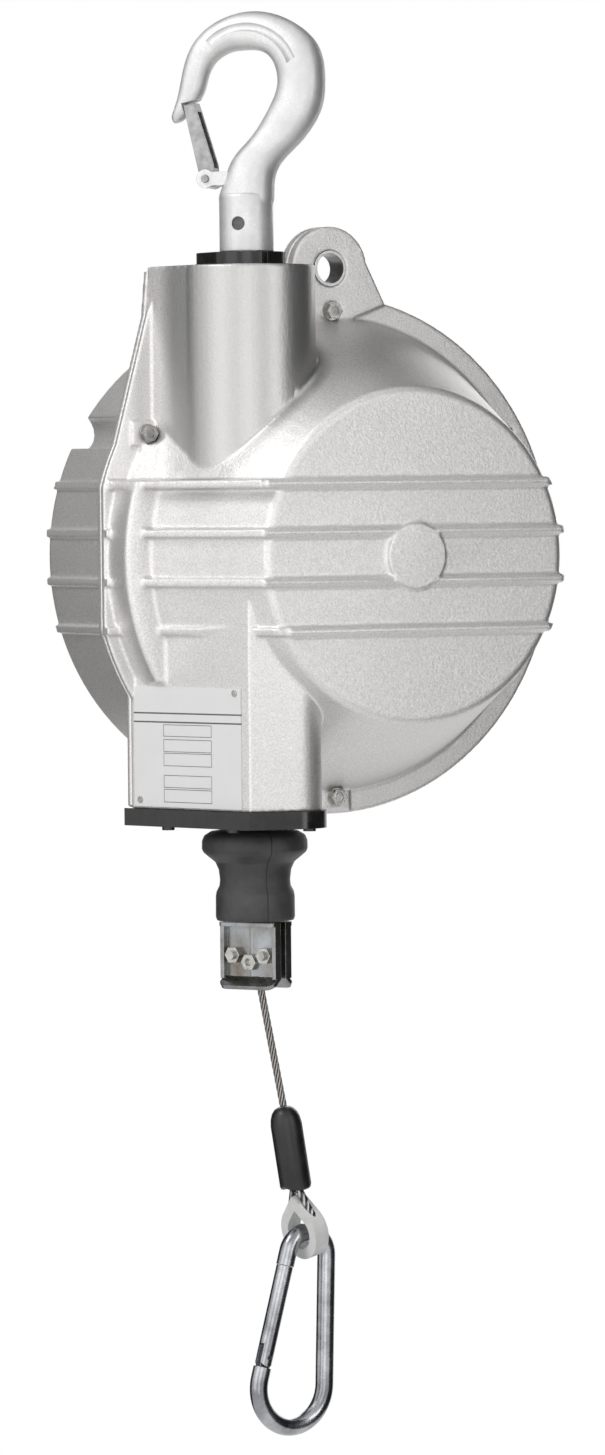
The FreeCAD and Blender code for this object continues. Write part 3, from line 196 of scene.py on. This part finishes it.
floor_look = Look("studio_floor", Roughness=0.9)
floor_look.shader.inputs["Base Color"].default_value = grey(0.86)
rays = floor_look.node("ShaderNodeLightPath").socket.node.outputs
seen = Value(floor_look, rays["Is Camera Ray"])
mirrored = Value(floor_look, rays["Is Glossy Ray"])
passed = Value(floor_look, rays["Is Transmission Ray"])
glow = floor_look.node("ShaderNodeEmission", None, {"Color": grey(1.0), "Strength": 1.0})
white_share = 0.985
shown = (seen + mirrored + passed).math("MINIMUM", 1.0) * white_share
lit = Value(floor_look, floor_look.shader.outputs[0])
blended = floor_look.node("ShaderNodeMixShader", None, {0: shown, 1: lit, 2: glow})
floor_output = floor_look.tree.nodes["Material Output"].inputs["Surface"]
floor_look.tree.links.new(blended.socket, floor_output)
floor_reach = 9
floor_place = Matrix.Translation((0, 0, -3.1))
bm = bmesh.new()
bmesh.ops.create_grid(bm, x_segments=1, y_segments=1, size=floor_reach, matrix=floor_place)
floor_mesh = bpy.data.meshes.new("floor")
bm.to_mesh(floor_mesh)
bm.free()
floor_mesh.materials.append(floor_look.material)
floor = bpy.data.objects.new("floor", floor_mesh)
scene.collection.objects.link(floor)

world = bpy.data.worlds.new("surround")
scene.world = world
world.use_nodes = True
sky = world.node_tree
paths = sky.nodes.new("ShaderNodeLightPath")
either = sky.nodes.new("ShaderNodeMath")
either.operation = "MAXIMUM"
sky.links.new(paths.outputs["Is Camera Ray"], either.inputs[0])
sky.links.new(paths.outputs["Is Transmission Ray"], either.inputs[1])
any_ray = sky.nodes.new("ShaderNodeMath")
any_ray.operation = "MAXIMUM"
sky.links.new(either.outputs[0], any_ray.inputs[0])
sky.links.new(paths.outputs["Is Glossy Ray"], any_ray.inputs[1])
level = sky.nodes.new("ShaderNodeMapRange")
sky.links.new(any_ray.outputs[0], level.inputs["Value"])
level.inputs["To Min"].default_value = 0.36
level.inputs["To Max"].default_value = 1.0
sky.links.new(level.outputs[0], sky.nodes["Background"].inputs["Strength"])
sky.nodes["Background"].inputs["Color"].default_value = grey(1.0)


middle = Vector((0.05, 0, -0.4))
lamp_reach = 2.4


def stood(name, data, side, height, reach):
    """Sets a lamp or card round the object: degrees right of the viewer, degrees up."""
    turn = math.radians(side)
    lift = math.radians(height)
    level_way = across * math.sin(turn) - ahead * math.cos(turn)
    outward = level_way * math.cos(lift) + upright * math.sin(lift)
    thing = bpy.data.objects.new(name, data)
    facing = outward.to_track_quat("Z", "Y").to_matrix().to_4x4()
    thing.matrix_world = Matrix.Translation(middle + outward * reach) @ facing
    scene.collection.objects.link(thing)
    return thing


def soft_box(name, side, height, size, power):
    lamp = bpy.data.lights.new(name, "AREA")
    lamp.shape = "RECTANGLE"
    lamp.size, lamp.size_y = size
    lamp.energy = power
    stood(name, lamp, side, height, lamp_reach)


black_cloth = Look("black_cloth", Roughness=0.95)
black_cloth.shader.inputs["Base Color"].default_value = grey(0.05)


def flag(name, side, height, size, reach):
    """A black card that only shades and shows in the metal."""
    mesh = bpy.data.meshes.new(name)
    stretch = Matrix.Diagonal((*size, 1, 1))
    work = bmesh.new()
    bmesh.ops.create_grid(work, x_segments=1, y_segments=1, size=0.5, matrix=stretch)
    work.to_mesh(mesh)
    work.free()
    mesh.materials.append(black_cloth.material)
    card = stood(name, mesh, side, height, reach)
    card.visible_camera = False


soft_box("left_front_box", -46, 6, (1.5, 2.0), 9)
soft_box("front_box", 0, 2, (1.1, 2.1), 8.5)
soft_box("right_front_box", 54, 14, (0.8, 1.8), 15.5)
soft_box("overhead_box", -60, 46, (1.0, 0.9), 16)
soft_box("back_box", 168, 20, (2.0, 1.8), 17)
flag("right_flag", 98, 8, (2.4, 2.8), 1.3)
flag("left_flag", -128, 0, (1.5, 2.4), 1.4)
flag("top_flag", 160, 52, (2.6, 1.2), 1.5)


def finished(name, mesh, look, body):
    """Links a made mesh as a piece: smooth, with its material, riding on its body."""
    mesh.materials.clear()
    mesh.materials.append(look.material)
    for face in mesh.polygons:
        face.use_smooth = True
    piece = bpy.data.objects.new(name, mesh)
    scene.collection.objects.link(piece)
    if body:
        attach(piece, body)
    return piece


def dress(look, *names):
    """Gives CAD pieces their material."""
    for name in names:
        for slot in nodes[name].material_slots:
            slot.material = look.material


# Casing halves. Two sand-cast aluminium shells, blasted to an even satin grain and
# bolted flange to flange; cast corners are soft, the flange's edges are machined.
cast = Look("cast_aluminium")
grain = cast.noise(950, 3, 0.6)
clouds = cast.noise(9, 3, 0.55)
specks = cast.noise(420, 1, 0.5)
px, py, pz = cast.parts(cast.place())
from_stem = (px * px + py * py).math("SQRT")
neck_radius, neck_low = 0.058, -0.315
round_neck = ((neck_radius - from_stem) * 120).math("MINIMUM", 1.0).math("MAXIMUM", 0.0)
above_foot = ((pz - neck_low) * 30).math("MINIMUM", 1.0).math("MAXIMUM", 0.0)
on_neck = round_neck * above_foot
tone = cast.ramp(grain, (0.34, grey(0.61, 0.012)), (0.66, grey(0.86, 0.012)))
tone = cast.mix(clouds * 0.25, tone, grey(0.60, 0.010))
# Painted shade: the neck's tone is made darker, standing in for the dark surroundings its metal
# reflects. Its higher metallic and lower roughness are a real, smoother finish.
tone = cast.mix(on_neck * 0.75, tone, grey(0.40, 0.002))
cast.feed("Base Color", tone)
cast.feed("Metallic", on_neck * 0.1 + 0.75)
cast.feed("Roughness", grain * 0.16 + clouds * 0.1 + 0.34 - on_neck * 0.1)
cast.bump(grain + specks * 0.8, 0.0004, 0.4)


def bake(piece):
    """Applies the piece's modifiers to its mesh."""
    graph = bpy.context.evaluated_depsgraph_get()
    mesh = bpy.data.meshes.new_from_object(piece.evaluated_get(graph))
    old = piece.data
    piece.modifiers.clear()
    piece.data = mesh
    bpy.data.meshes.remove(old)


def soften(mesh, rounds, chosen=None):
    """Eases the mesh's corners, all over or where the test says."""
    work = bmesh.new()
    work.from_mesh(mesh)
    verts = [v for v in work.verts if chosen is None or chosen(v.co)]
    every_way = {"use_axis_x": True, "use_axis_y": True, "use_axis_z": True}
    for _ in range(rounds):
        bmesh.ops.smooth_vert(work, verts=verts, factor=0.5, **every_way)
    work.to_mesh(mesh)
    work.free()


fine_voxel, quick_voxel = 0.0011, 0.0022
most_triangles = 190000
weld = 0.00001


def cast_shell(node, name, areas):
    """A shell with cast radii, from the machined CAD form."""
    work = bmesh.new()
    work.from_mesh(nodes[node].data)
    bmesh.ops.remove_doubles(work, verts=work.verts[:], dist=weld)
    mesh = bpy.data.meshes.new(name)
    work.to_mesh(mesh)
    work.free()
    shell = bpy.data.objects.new(name, mesh)
    scene.collection.objects.link(shell)
    remesh = shell.modifiers.new("skin", "REMESH")
    remesh.mode = "VOXEL"
    remesh.voxel_size = fine_voxel
    bake(shell)
    soften(shell.data, 1)
    for rounds, chosen in areas:
        soften(shell.data, rounds, chosen)
    count = sum(len(face.vertices) - 2 for face in shell.data.polygons)
    thin = shell.modifiers.new("thin", "DECIMATE")
    thin.ratio = min(1.0, most_triangles / count)
    bake(shell)
    for face in shell.data.polygons:
        face.use_smooth = True
    shell.data.materials.append(cast.material)
    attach(shell, "casing")
    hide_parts(node)


def neck_foot(co):
    """Where the neck runs down into the cup's cone."""
    radius = math.hypot(co.x - drum_x, co.z - drum_z)
    beside_stem = 0.012 < co.x < 0.085 and -0.06 < co.y < 0.036
    return beside_stem and -0.30 < co.z < -0.17 and 0.095 < radius < 0.175


def lobe_edge(co):
    """The lobe's outer edge, left of the rope box."""
    radius = math.hypot(co.x - drum_x, co.z - drum_z)
    return co.x < -0.04 and radius > 0.13 and 0.0 < co.y < 0.036 and -0.44 < co.z < -0.277


def shoulder(co):
    """The step from the neck out to the lobe."""
    return co.x < 0.01 and -0.318 < co.z < -0.262 and -0.07 < co.y < 0.036


eased = ((40, neck_foot), (6, lobe_edge), (4, shoulder))
cast_shell("front_casing", "front_shell", eased)
cast_shell("rear_casing", "rear_shell", ())

# Safety lug's bush and the flange hardware. A turned steel bush pressed through both
# halves, and zinc-plated hex bolts with dished heads, washers and nuts.
zinc = Look("zinc_plate", Metallic=0.9)
zinc_cloud = zinc.noise(160, 3, 0.6)
zinc_tone = zinc.ramp(zinc_cloud, (0.3, (0.26, 0.26, 0.25, 1)), (0.7, (0.52, 0.51, 0.48, 1)))
zinc.feed("Base Color", zinc_tone)
zinc.feed("Roughness", zinc_cloud * 0.25 + 0.12)
zinc.bump(zinc.noise(1400, 2), 0.00012, 0.35, 0.0004)
turned = Look("turned_steel", Metallic=0.95)
lathe = turned.noise(2600, 2)
turned.feed("Base Color", turned.ramp(lathe, (0.3, grey(0.42)), (0.8, grey(0.62))))
turned.feed("Roughness", lathe * 0.2 + 0.22)
turned.bump(lathe, 0.00008, 0.3, 0.0004)
dress(zinc, "casing_bolts", "casing_washers", "casing_nuts")
dress(zinc, "stem_nut", "clamp_bolts", "clamp_nuts")
dress(turned, "lug_bush", "drum_axle", "drum_bearings")
dress(turned, "thrust_bearing", "swivel_stem")

# Black mouldings: the cover plate under the rope box, its screws, the rope's guide
# bush and the stepped cap under the hook. Glossy glass-filled nylon, a little scuffed.
black = Look("black_moulding", Coat_Roughness=0.15)
scuff = black.noise(70, 4, 0.65)
fine = black.noise(900, 2)
black.feed("Base Color", black.ramp(scuff, (0.35, grey(0.010)), (0.75, grey(0.028))))
black.feed("Roughness", scuff * 0.2 + 0.1)
black.bump(fine, 0.00008, 0.3, 0.0006)
dress(black, "bottom_cover", "bottom_cover_screws", "rope_guide_bush", "hook_cap")

# Rating plate, left bare of any wording: white enamelled sheet with grey rules and
# empty boxes, riveted to the rope box's left wall.
plate_look = Look("rating_plate", Roughness=0.34)
wall_start = Vector((-0.067, 0.045, -0.497))
wall_end = Vector((-0.034, -0.062, -0.497))
along = (wall_end - wall_start).normalized()
where = plate_look.place()
vector_maths = "ShaderNodeVectorMath"
offset = plate_look.node(vector_maths, {"operation": "SUBTRACT"}, {0: where, 1: wall_start})
run = plate_look.node(vector_maths, {"operation": "DOT_PRODUCT"}, {0: offset, 1: along}, "Value")
rise = plate_look.parts(offset)[2]


def rule(height, thickness=0.0005):
    """A ruled line across the plate."""
    return (rise - height).math("ABSOLUTE") < thickness


def within(left, right, low, high):
    return (run > left) * (run < right) * (rise > low) * (rise < high)


def empty_box(left, right, low, high, line=0.00045):
    """The outline of a box, in metres along and up the plate."""
    inner = within(left + line, right - line, low + line, high - line)
    return within(left, right, low, high) - inner


box_left, box_right = 0.0325, 0.0775
box_heights = (
    (0.0465, 0.0545), (0.0364, 0.0448), (0.0271, 0.0358), (0.0128, 0.0212), (0.0032, 0.0120),
)
ink = rule(0.0618) + rule(0.0560)
for low, high in box_heights:
    ink = ink + empty_box(box_left, box_right, low, high)
ink = ink.math("MINIMUM", 1.0)
dust = plate_look.noise(45, 4, 0.6)
paint = plate_look.mix(dust, grey(0.90, 0.004), grey(0.96))
plate_look.feed("Base Color", plate_look.mix(ink * 0.9, paint, grey(0.03)))
plate_look.bump(plate_look.noise(500, 2), 0.00005, 0.3, 0.0002)
dress(plate_look, "nameplate")
dress(zinc, "nameplate_rivets")

# Safety hook. Drop-forged steel, hot galvanised: soft scale under a bright skin,
# darker in the hollows. The latch is pressed strip on a riveted pin.
forging = Look("galvanised_forging", Metallic=0.55)
scale_skin = forging.noise(260, 4, 0.65)
patches = forging.noise(38, 3, 0.6)
forged_tone = forging.ramp(patches, (0.32, grey(0.66)), (0.72, grey(0.88, 0.004)))
pits = forging.noise(700, 3, 0.7)
pitted = forging.ramp(pits, (0.40, grey(0.6)), (0.62, grey(0.0)))
forged_tone = forging.mix(pitted, forged_tone, grey(0.66))
forging.feed("Base Color", forged_tone)
forging.feed("Roughness", scale_skin * 0.3 + patches * 0.1 + 0.28)
forging.bump(scale_skin + patches * 1.5 + pits * 0.4, 0.0004, 0.5, 0.0008)
dress(forging, "suspension_hook")
latch_look = Look("latch_strip", Metallic=0.9)
latch_cloud = latch_look.noise(210, 3)
latch_look.feed("Base Color", latch_look.ramp(latch_cloud, (0.3, grey(0.24)), (0.75, grey(0.40))))
latch_look.feed("Roughness", latch_cloud * 0.2 + 0.3)
latch_look.bump(latch_cloud, 0.0001, 0.4, 0.0005)
dress(latch_look, "hook_latch", "latch_pin")
oiled = Look("oiled_steel", Metallic=0.8)
oil = oiled.noise(140, 3)
oiled.feed("Base Color", oiled.ramp(oil, (0.3, grey(0.05)), (0.8, grey(0.14))))
oiled.feed("Roughness", oil * 0.3 + 0.25)
oiled.bump(oil, 0.0001, 0.3, 0.0005)
dress(oiled, "hook_cross_pin", "spring_case", "power_spring")
dress(cast, "rope_drum")

# Rubber stop on the rope: one moulding with a flanged top, a waist and a straight
# foot, slit down one side so that it can be put on over the rope.
rubber = Look("stop_rubber", Specular_IOR_Level=0.4)
bloom = rubber.noise(60, 4, 0.6)
skin = rubber.noise(1200, 2)
rope_x = 0.0017
rx, ry = rubber.parts(rubber.place())[:2]
slit_lean, slit_width = 0.163, 0.0004
# The slit's line is painted shade: coloured near-black where the slit's gap would be dark, and
# bumped in as a groove.
slit_with_painted_shade = ((rx - rope_x - ry * slit_lean).math("ABSOLUTE") < slit_width) * (ry < 0)
rubber_tone = rubber.ramp(bloom, (0.3, grey(0.045)), (0.75, grey(0.095)))
rubber.feed("Base Color", rubber.mix(slit_with_painted_shade * 0.9, rubber_tone, grey(0.006)))
rubber.feed("Roughness", bloom * 0.2 + 0.4)
rubber.bump(skin * 0.3 - slit_with_painted_shade * 2.0, 0.0003, 0.4)
stop_low, stop_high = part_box("rubber_bumper")
stop_top, stop_foot = stop_high[2], stop_low[2]
top_points = (
    (0.0036, 0.0005), (0.022, 0.0002), (0.029, 0.0012), (0.0335, 0.004), (0.0349, 0.0075),
    (0.0350, 0.013), (0.0338, 0.0152), (0.0305, 0.0180), (0.0262, 0.0215), (0.0240, 0.0265),
    (0.0232, 0.0330), (0.0236, 0.0372),
)
foot_points = (
    (0.0256, 0.0195), (0.0261, 0.0165), (0.0262, 0.0030), (0.0254, 0.0004), (0.0036, 0.0001),
)
stop_profile = [(radius, stop_top - drop) for radius, drop in top_points]
stop_profile += [(radius, stop_foot + lift) for radius, lift in foot_points]


def turned_ring(name, profile, centre_x, steps=96):
    """A closed ring turned from a chain of (radius, height) points."""
    work = bmesh.new()
    chain = [work.verts.new((centre_x + radius, 0, height)) for radius, height in profile]
    edges = [work.edges.new(pair) for pair in zip(chain, chain[1:])]
    edges.append(work.edges.new((chain[-1], chain[0])))
    bmesh.ops.spin(work, geom=chain + edges, cent=(centre_x, 0, 0), axis=(0, 0, 1),
                   angle=2 * math.pi, steps=steps, use_merge=True)
    bmesh.ops.remove_doubles(work, verts=work.verts[:], dist=0.000001)
    bmesh.ops.recalc_face_normals(work, faces=work.faces[:])
    mesh = bpy.data.meshes.new(name)
    work.to_mesh(mesh)
    work.free()
    return mesh


stop_mesh = turned_ring("rubber_stop", stop_profile, rope_x)
stop = finished("rubber_stop", stop_mesh, rubber, "load")
ease = stop.modifiers.new("ease", "BEVEL")
ease.width = 0.0008
ease.segments = 2
ease.limit_method = "ANGLE"
ease.angle_limit = math.radians(25)
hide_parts("rubber_bumper")

# Rope clamp. Two pressings of bright zinc-plated strip, back to back round the rope,
# their feet turned out; two bolts and nuts squeeze them.
pressing = Look("clamp_pressing", Metallic=0.92)
wash = pressing.noise(42, 3, 0.6)
brown, dull, bluish = (0.13, 0.10, 0.07, 1), (0.22, 0.22, 0.21, 1), (0.34, 0.36, 0.38, 1)
pressing.feed("Base Color", pressing.ramp(wash, (0.30, brown), (0.45, dull), (0.72, bluish)))
pressing.feed("Roughness", wash * 0.2 + 0.16)
pressing.bump(pressing.noise(500, 2), 0.0001, 0.3, 0.0007)
dress(pressing, "clamp_plate_front", "clamp_plate_rear")

# Wire rope, 5 mm, of six strands laid round a core. The short tail leaves the clamp
# and leans to the right; inside the casing the rope runs up to the drum.
wire = Look("wire_rope", Metallic=0.85)
lay_noise = wire.noise(1500, 2)
height = wire.node("ShaderNodeAttribute", {"attribute_name": "crown"}, output="Fac")
# Painted shade: the grooves between the strands, found from the crown height, are coloured dark,
# while the crowns keep the wire's grey.
painted_groove_shade, bright = (0.055, 0.042, 0.032, 1), (0.46, 0.44, 0.42, 1)
groove = wire.ramp(height, (0.80, painted_groove_shade), (0.97, bright))
wire.feed("Base Color", wire.mix(lay_noise * 0.5, groove, grey(0.12)))
wire.feed("Roughness", lay_noise * 0.25 + 0.3)
wire.bump(lay_noise, 0.0002, 0.5)
rope_radius = 0.0025
lay_pitch = 0.030
strands = 6
tail_route = ((rope_x, 0, -0.577), (rope_x, 0, -0.602), (0.0067, 0, -0.6265), (0.0213, 0, -0.698))


def spline_points(route, name):
    """Points along the smooth line through a route, start to end."""
    curve = bpy.data.curves.new(name, "CURVE")
    curve.dimensions = "3D"
    spline = curve.splines.new("NURBS")
    spline.points.add(len(route) - 1)
    for point, place in zip(spline.points, route):
        point.co = (*place, 1)
    spline.order_u = 3
    spline.use_endpoint_u = True
    spline.resolution_u = 24
    holder = bpy.data.objects.new(name, curve)
    scene.collection.objects.link(holder)
    graph = bpy.context.evaluated_depsgraph_get()
    mesh = bpy.data.meshes.new_from_object(holder.evaluated_get(graph))
    points = [vert.co.copy() for vert in mesh.vertices]
    bpy.data.objects.remove(holder)
    return points


def spaced(points, step):
    """The same line with points a step apart."""
    found = [points[0]]
    left = step
    for start, end in zip(points, points[1:]):
        length = (end - start).length
        done = 0.0
        while length - done >= left:
            done += left
            found.append(start.lerp(end, done / length))
            left = step
        left -= length - done
    if (found[-1] - points[-1]).length > step * 0.4:
        found.append(points[-1])
    return found


def stranded(name, line, side):
    """Six round strands wound about a line, with the core between them."""
    work = bmesh.new()
    crown = work.verts.layers.float.new("crown")
    sides = 8
    strand_radius = rope_radius * 0.36
    core_radius = rope_radius * 0.5
    wind_radius = rope_radius - strand_radius
    line = spaced(line, 0.0012)
    ahead_of = line[1:] + line[-1:]
    behind = line[:1] + line[:-1]
    tangents = [(after - before).normalized() for after, before in zip(ahead_of, behind)]
    for strand in range(strands + 1):
        last = None
        travelled = 0.0
        for index, (point, tangent) in enumerate(zip(line, tangents)):
            if index:
                travelled += (point - line[index - 1]).length
            first_side = (side - tangent * side.dot(tangent)).normalized()
            second_side = tangent.cross(first_side)
            angle = 2 * math.pi * (travelled / lay_pitch + strand / strands)
            outward = first_side * math.cos(angle) + second_side * math.sin(angle)
            centre = point + outward * (wind_radius if strand < strands else 0)
            radius = strand_radius if strand < strands else core_radius
            turn = Matrix((first_side, second_side, tangent)).transposed().to_4x4()
            placed = Matrix.Translation(centre) @ turn
            circle = bmesh.ops.create_circle(work, cap_ends=False, segments=sides, radius=radius,
                                             matrix=placed)["verts"]
            for vert in circle:
                vert[crown] = (vert.co - point).length / rope_radius
            touching = {edge for vert in circle for edge in vert.link_edges}
            loop = [edge for edge in touching if all(vert in circle for vert in edge.verts)]
            if last is None:
                bmesh.ops.contextual_create(work, geom=loop)
            else:
                bmesh.ops.bridge_loops(work, edges=last + loop)
            last = loop
        bmesh.ops.contextual_create(work, geom=last)
    bmesh.ops.recalc_face_normals(work, faces=work.faces[:])
    mesh = bpy.data.meshes.new(name)
    work.to_mesh(mesh)
    work.free()
    return mesh


tail_line = spline_points(tail_route, "tail_line")
tail_mesh = stranded("rope_tail_strands", tail_line, Vector((0, 1, 0)))
tail = finished("rope_tail_strands", tail_mesh, wire, "load")
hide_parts("rope_tail")
laid = Look("laid_wire", Metallic=0.85)
lx, ly, lz = laid.parts(laid.place())
turn_angle = ly.math("ARCTAN2", lx - rope_x)
wave = (turn_angle * strands + lz * (strands * 2 * math.pi / lay_pitch)).math("SINE")
# Painted shade: the strands are striped on in colour, dark in the lay's grooves, with a matching
# bump.
laid.feed("Base Color", laid.ramp(wave * 0.5 + 0.5, (0.1, grey(0.10)), (0.7, grey(0.46))))
laid.feed("Roughness", wave * -0.08 + 0.42)
laid.bump(wave, 0.0006, 0.8)
rope_low, rope_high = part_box("rope_upper")
rope_foot, rope_top = rope_low[2], rope_high[2]
rope_length = rope_top - rope_foot
stretches = 48
bm = bmesh.new()
bmesh.ops.create_circle(bm, cap_ends=True, segments=24, radius=rope_radius,
                        matrix=Matrix.Translation((rope_x, 0, rope_foot)))
lifted = bmesh.ops.extrude_face_region(bm, geom=bm.faces[:])["geom"]
lifted = [item for item in lifted if isinstance(item, bmesh.types.BMVert)]
bmesh.ops.translate(bm, verts=lifted, vec=(0, 0, rope_length))
for cut in range(1, stretches):
    everything = bm.verts[:] + bm.edges[:] + bm.faces[:]
    cut_height = rope_foot + rope_length * cut / stretches
    bmesh.ops.bisect_plane(bm, geom=everything, plane_co=(0, 0, cut_height), plane_no=(0, 0, 1))
bmesh.ops.recalc_face_normals(bm, faces=bm.faces[:])
upper_mesh = bpy.data.meshes.new("rope_inside")
bm.to_mesh(upper_mesh)
bm.free()
upper = finished("rope_inside", upper_mesh, laid, None)
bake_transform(upper)
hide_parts("rope_upper")
coil = Look("wound_wire", Metallic=0.85)
cx, cy, cz = coil.parts(coil.place())
coil_angle = (cz - drum_z).math("ARCTAN2", cx - drum_x)
coil_wave = (coil_angle * 99.0 + cy * 2400.0).math("SINE")
# Painted shade: dark stripes between the wound turns and strands, with a matching bump.
coil.feed("Base Color", coil.ramp(coil_wave * 0.5 + 0.5, (0.1, grey(0.12)), (0.7, grey(0.46))))
coil.feed("Roughness", coil_wave * -0.08 + 0.4)
coil.bump(coil_wave, 0.0005, 0.7)
dress(coil, "rope_windings")

# Rope end. The rope turns back round a white nylon thimble into a pressed ferrule,
# which a black rubber sleeve covers.
sleeve_rubber = Look("sleeve_rubber", Specular_IOR_Level=0.5)
smear = sleeve_rubber.noise(85, 4, 0.6)
sleeve_rubber.feed("Base Color", sleeve_rubber.ramp(smear, (0.3, grey(0.008)), (0.8, grey(0.022))))
sleeve_rubber.feed("Roughness", smear * 0.25 + 0.26)
sleeve_rubber.bump(sleeve_rubber.noise(700, 2), 0.0001, 0.3)
sleeve_top = Vector((0.0213, 0, -0.698))
sleeve_end = Vector((0.0305, 0, -0.754))
sleeve_axis = sleeve_end - sleeve_top
sleeve_length = sleeve_axis.length
sleeve_radius = 0.0105
sleeve_profile = (
    (0.0, 0.0), (0.0042, 0.0002), (0.0064, 0.0014), (0.0084, 0.0038), (0.0098, 0.0074),
    (sleeve_radius, 0.0120), (sleeve_radius, sleeve_length - 0.0025),
    (0.0100, sleeve_length - 0.0008), (0.0085, sleeve_length), (0.0, sleeve_length),
)
sleeve_mesh = turned_ring("sleeve", sleeve_profile, 0.0, 64)
stand = sleeve_axis.to_track_quat("Z", "Y").to_matrix().to_4x4()
bm = bmesh.new()
bm.from_mesh(sleeve_mesh)
bmesh.ops.transform(bm, matrix=Matrix.Translation(sleeve_top) @ stand, verts=bm.verts[:])
eye_turn = math.radians(-80)
eye_plane = Vector((math.cos(eye_turn), math.sin(eye_turn), 0))
down = sleeve_axis.normalized()
shaped_end, notch_depth = 0.005, 0.0030
for vert in bm.verts:
    if (vert.co - sleeve_top).dot(down) > sleeve_length - shaped_end:
        spread = abs((vert.co - sleeve_end).dot(eye_plane)) / sleeve_radius
        vert.co += down * (notch_depth * spread - notch_depth)
bmesh.ops.recalc_face_normals(bm, faces=bm.faces[:])
bm.to_mesh(sleeve_mesh)
bm.free()
sleeve = finished("rubber_sleeve", sleeve_mesh, sleeve_rubber, "load")
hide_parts("ferrule_sleeve")
nylon = Look("white_nylon")
haze = nylon.noise(120, 3)
nylon_tone = nylon.ramp(haze, (0.3, (0.84, 0.84, 0.83, 1)), (0.7, (0.93, 0.93, 0.92, 1)))
nylon.feed("Base Color", nylon_tone)
nylon.feed("Roughness", haze * 0.15 + 0.34)
nylon.bump(haze, 0.0001, 0.3, 0.0006)
dress(nylon, "thimble")
eye_wire = Look("eye_wire", Metallic=0.85)
eye_x, eye_z = 0.0366, -0.7815
ex, ey, ez = eye_wire.parts(eye_wire.place())
eye_out = (ex - eye_x) * eye_plane.x + ey * eye_plane.y
eye_side = (ex - eye_x) * eye_plane.y - ey * eye_plane.x
eye_angle = (ez - eye_z).math("ARCTAN2", eye_out)
eye_wave = (eye_angle * 19.0 + eye_side * 1500.0).math("SINE")
# Painted shade: dark stripes in the grooves between the strands, with a matching bump.
eye_tone = eye_wire.ramp(eye_wave * 0.5 + 0.5, (0.12, grey(0.07)), (0.55, grey(0.50)))
eye_wire.feed("Base Color", eye_tone)
eye_wire.feed("Roughness", eye_wave * -0.06 + 0.4)
eye_wire.bump(eye_wave, 0.0007, 0.9)
dress(eye_wire, "rope_eye")

# Spring hook on the thimble: bent zinc-plated wire, polished, with a sprung gate on
# a cross pin in its left leg.
chrome = Look("polished_zinc", Metallic=1.0)
smudge = chrome.noise(55, 4, 0.6)
tool_marks = chrome.noise(300, 2, 0.5)
shade, shine = (0.20, 0.205, 0.22, 1), (0.46, 0.47, 0.49, 1)
chrome.feed("Base Color", chrome.ramp(smudge, (0.30, shade), (0.65, shine)))
chrome.feed("Roughness", smudge * 0.2 + tool_marks * 0.14 + 0.08)
chrome.bump(tool_marks, 0.0001, 0.15, 0.0005)
dress(chrome, "carabiner_frame", "carabiner_gate", "gate_pin")
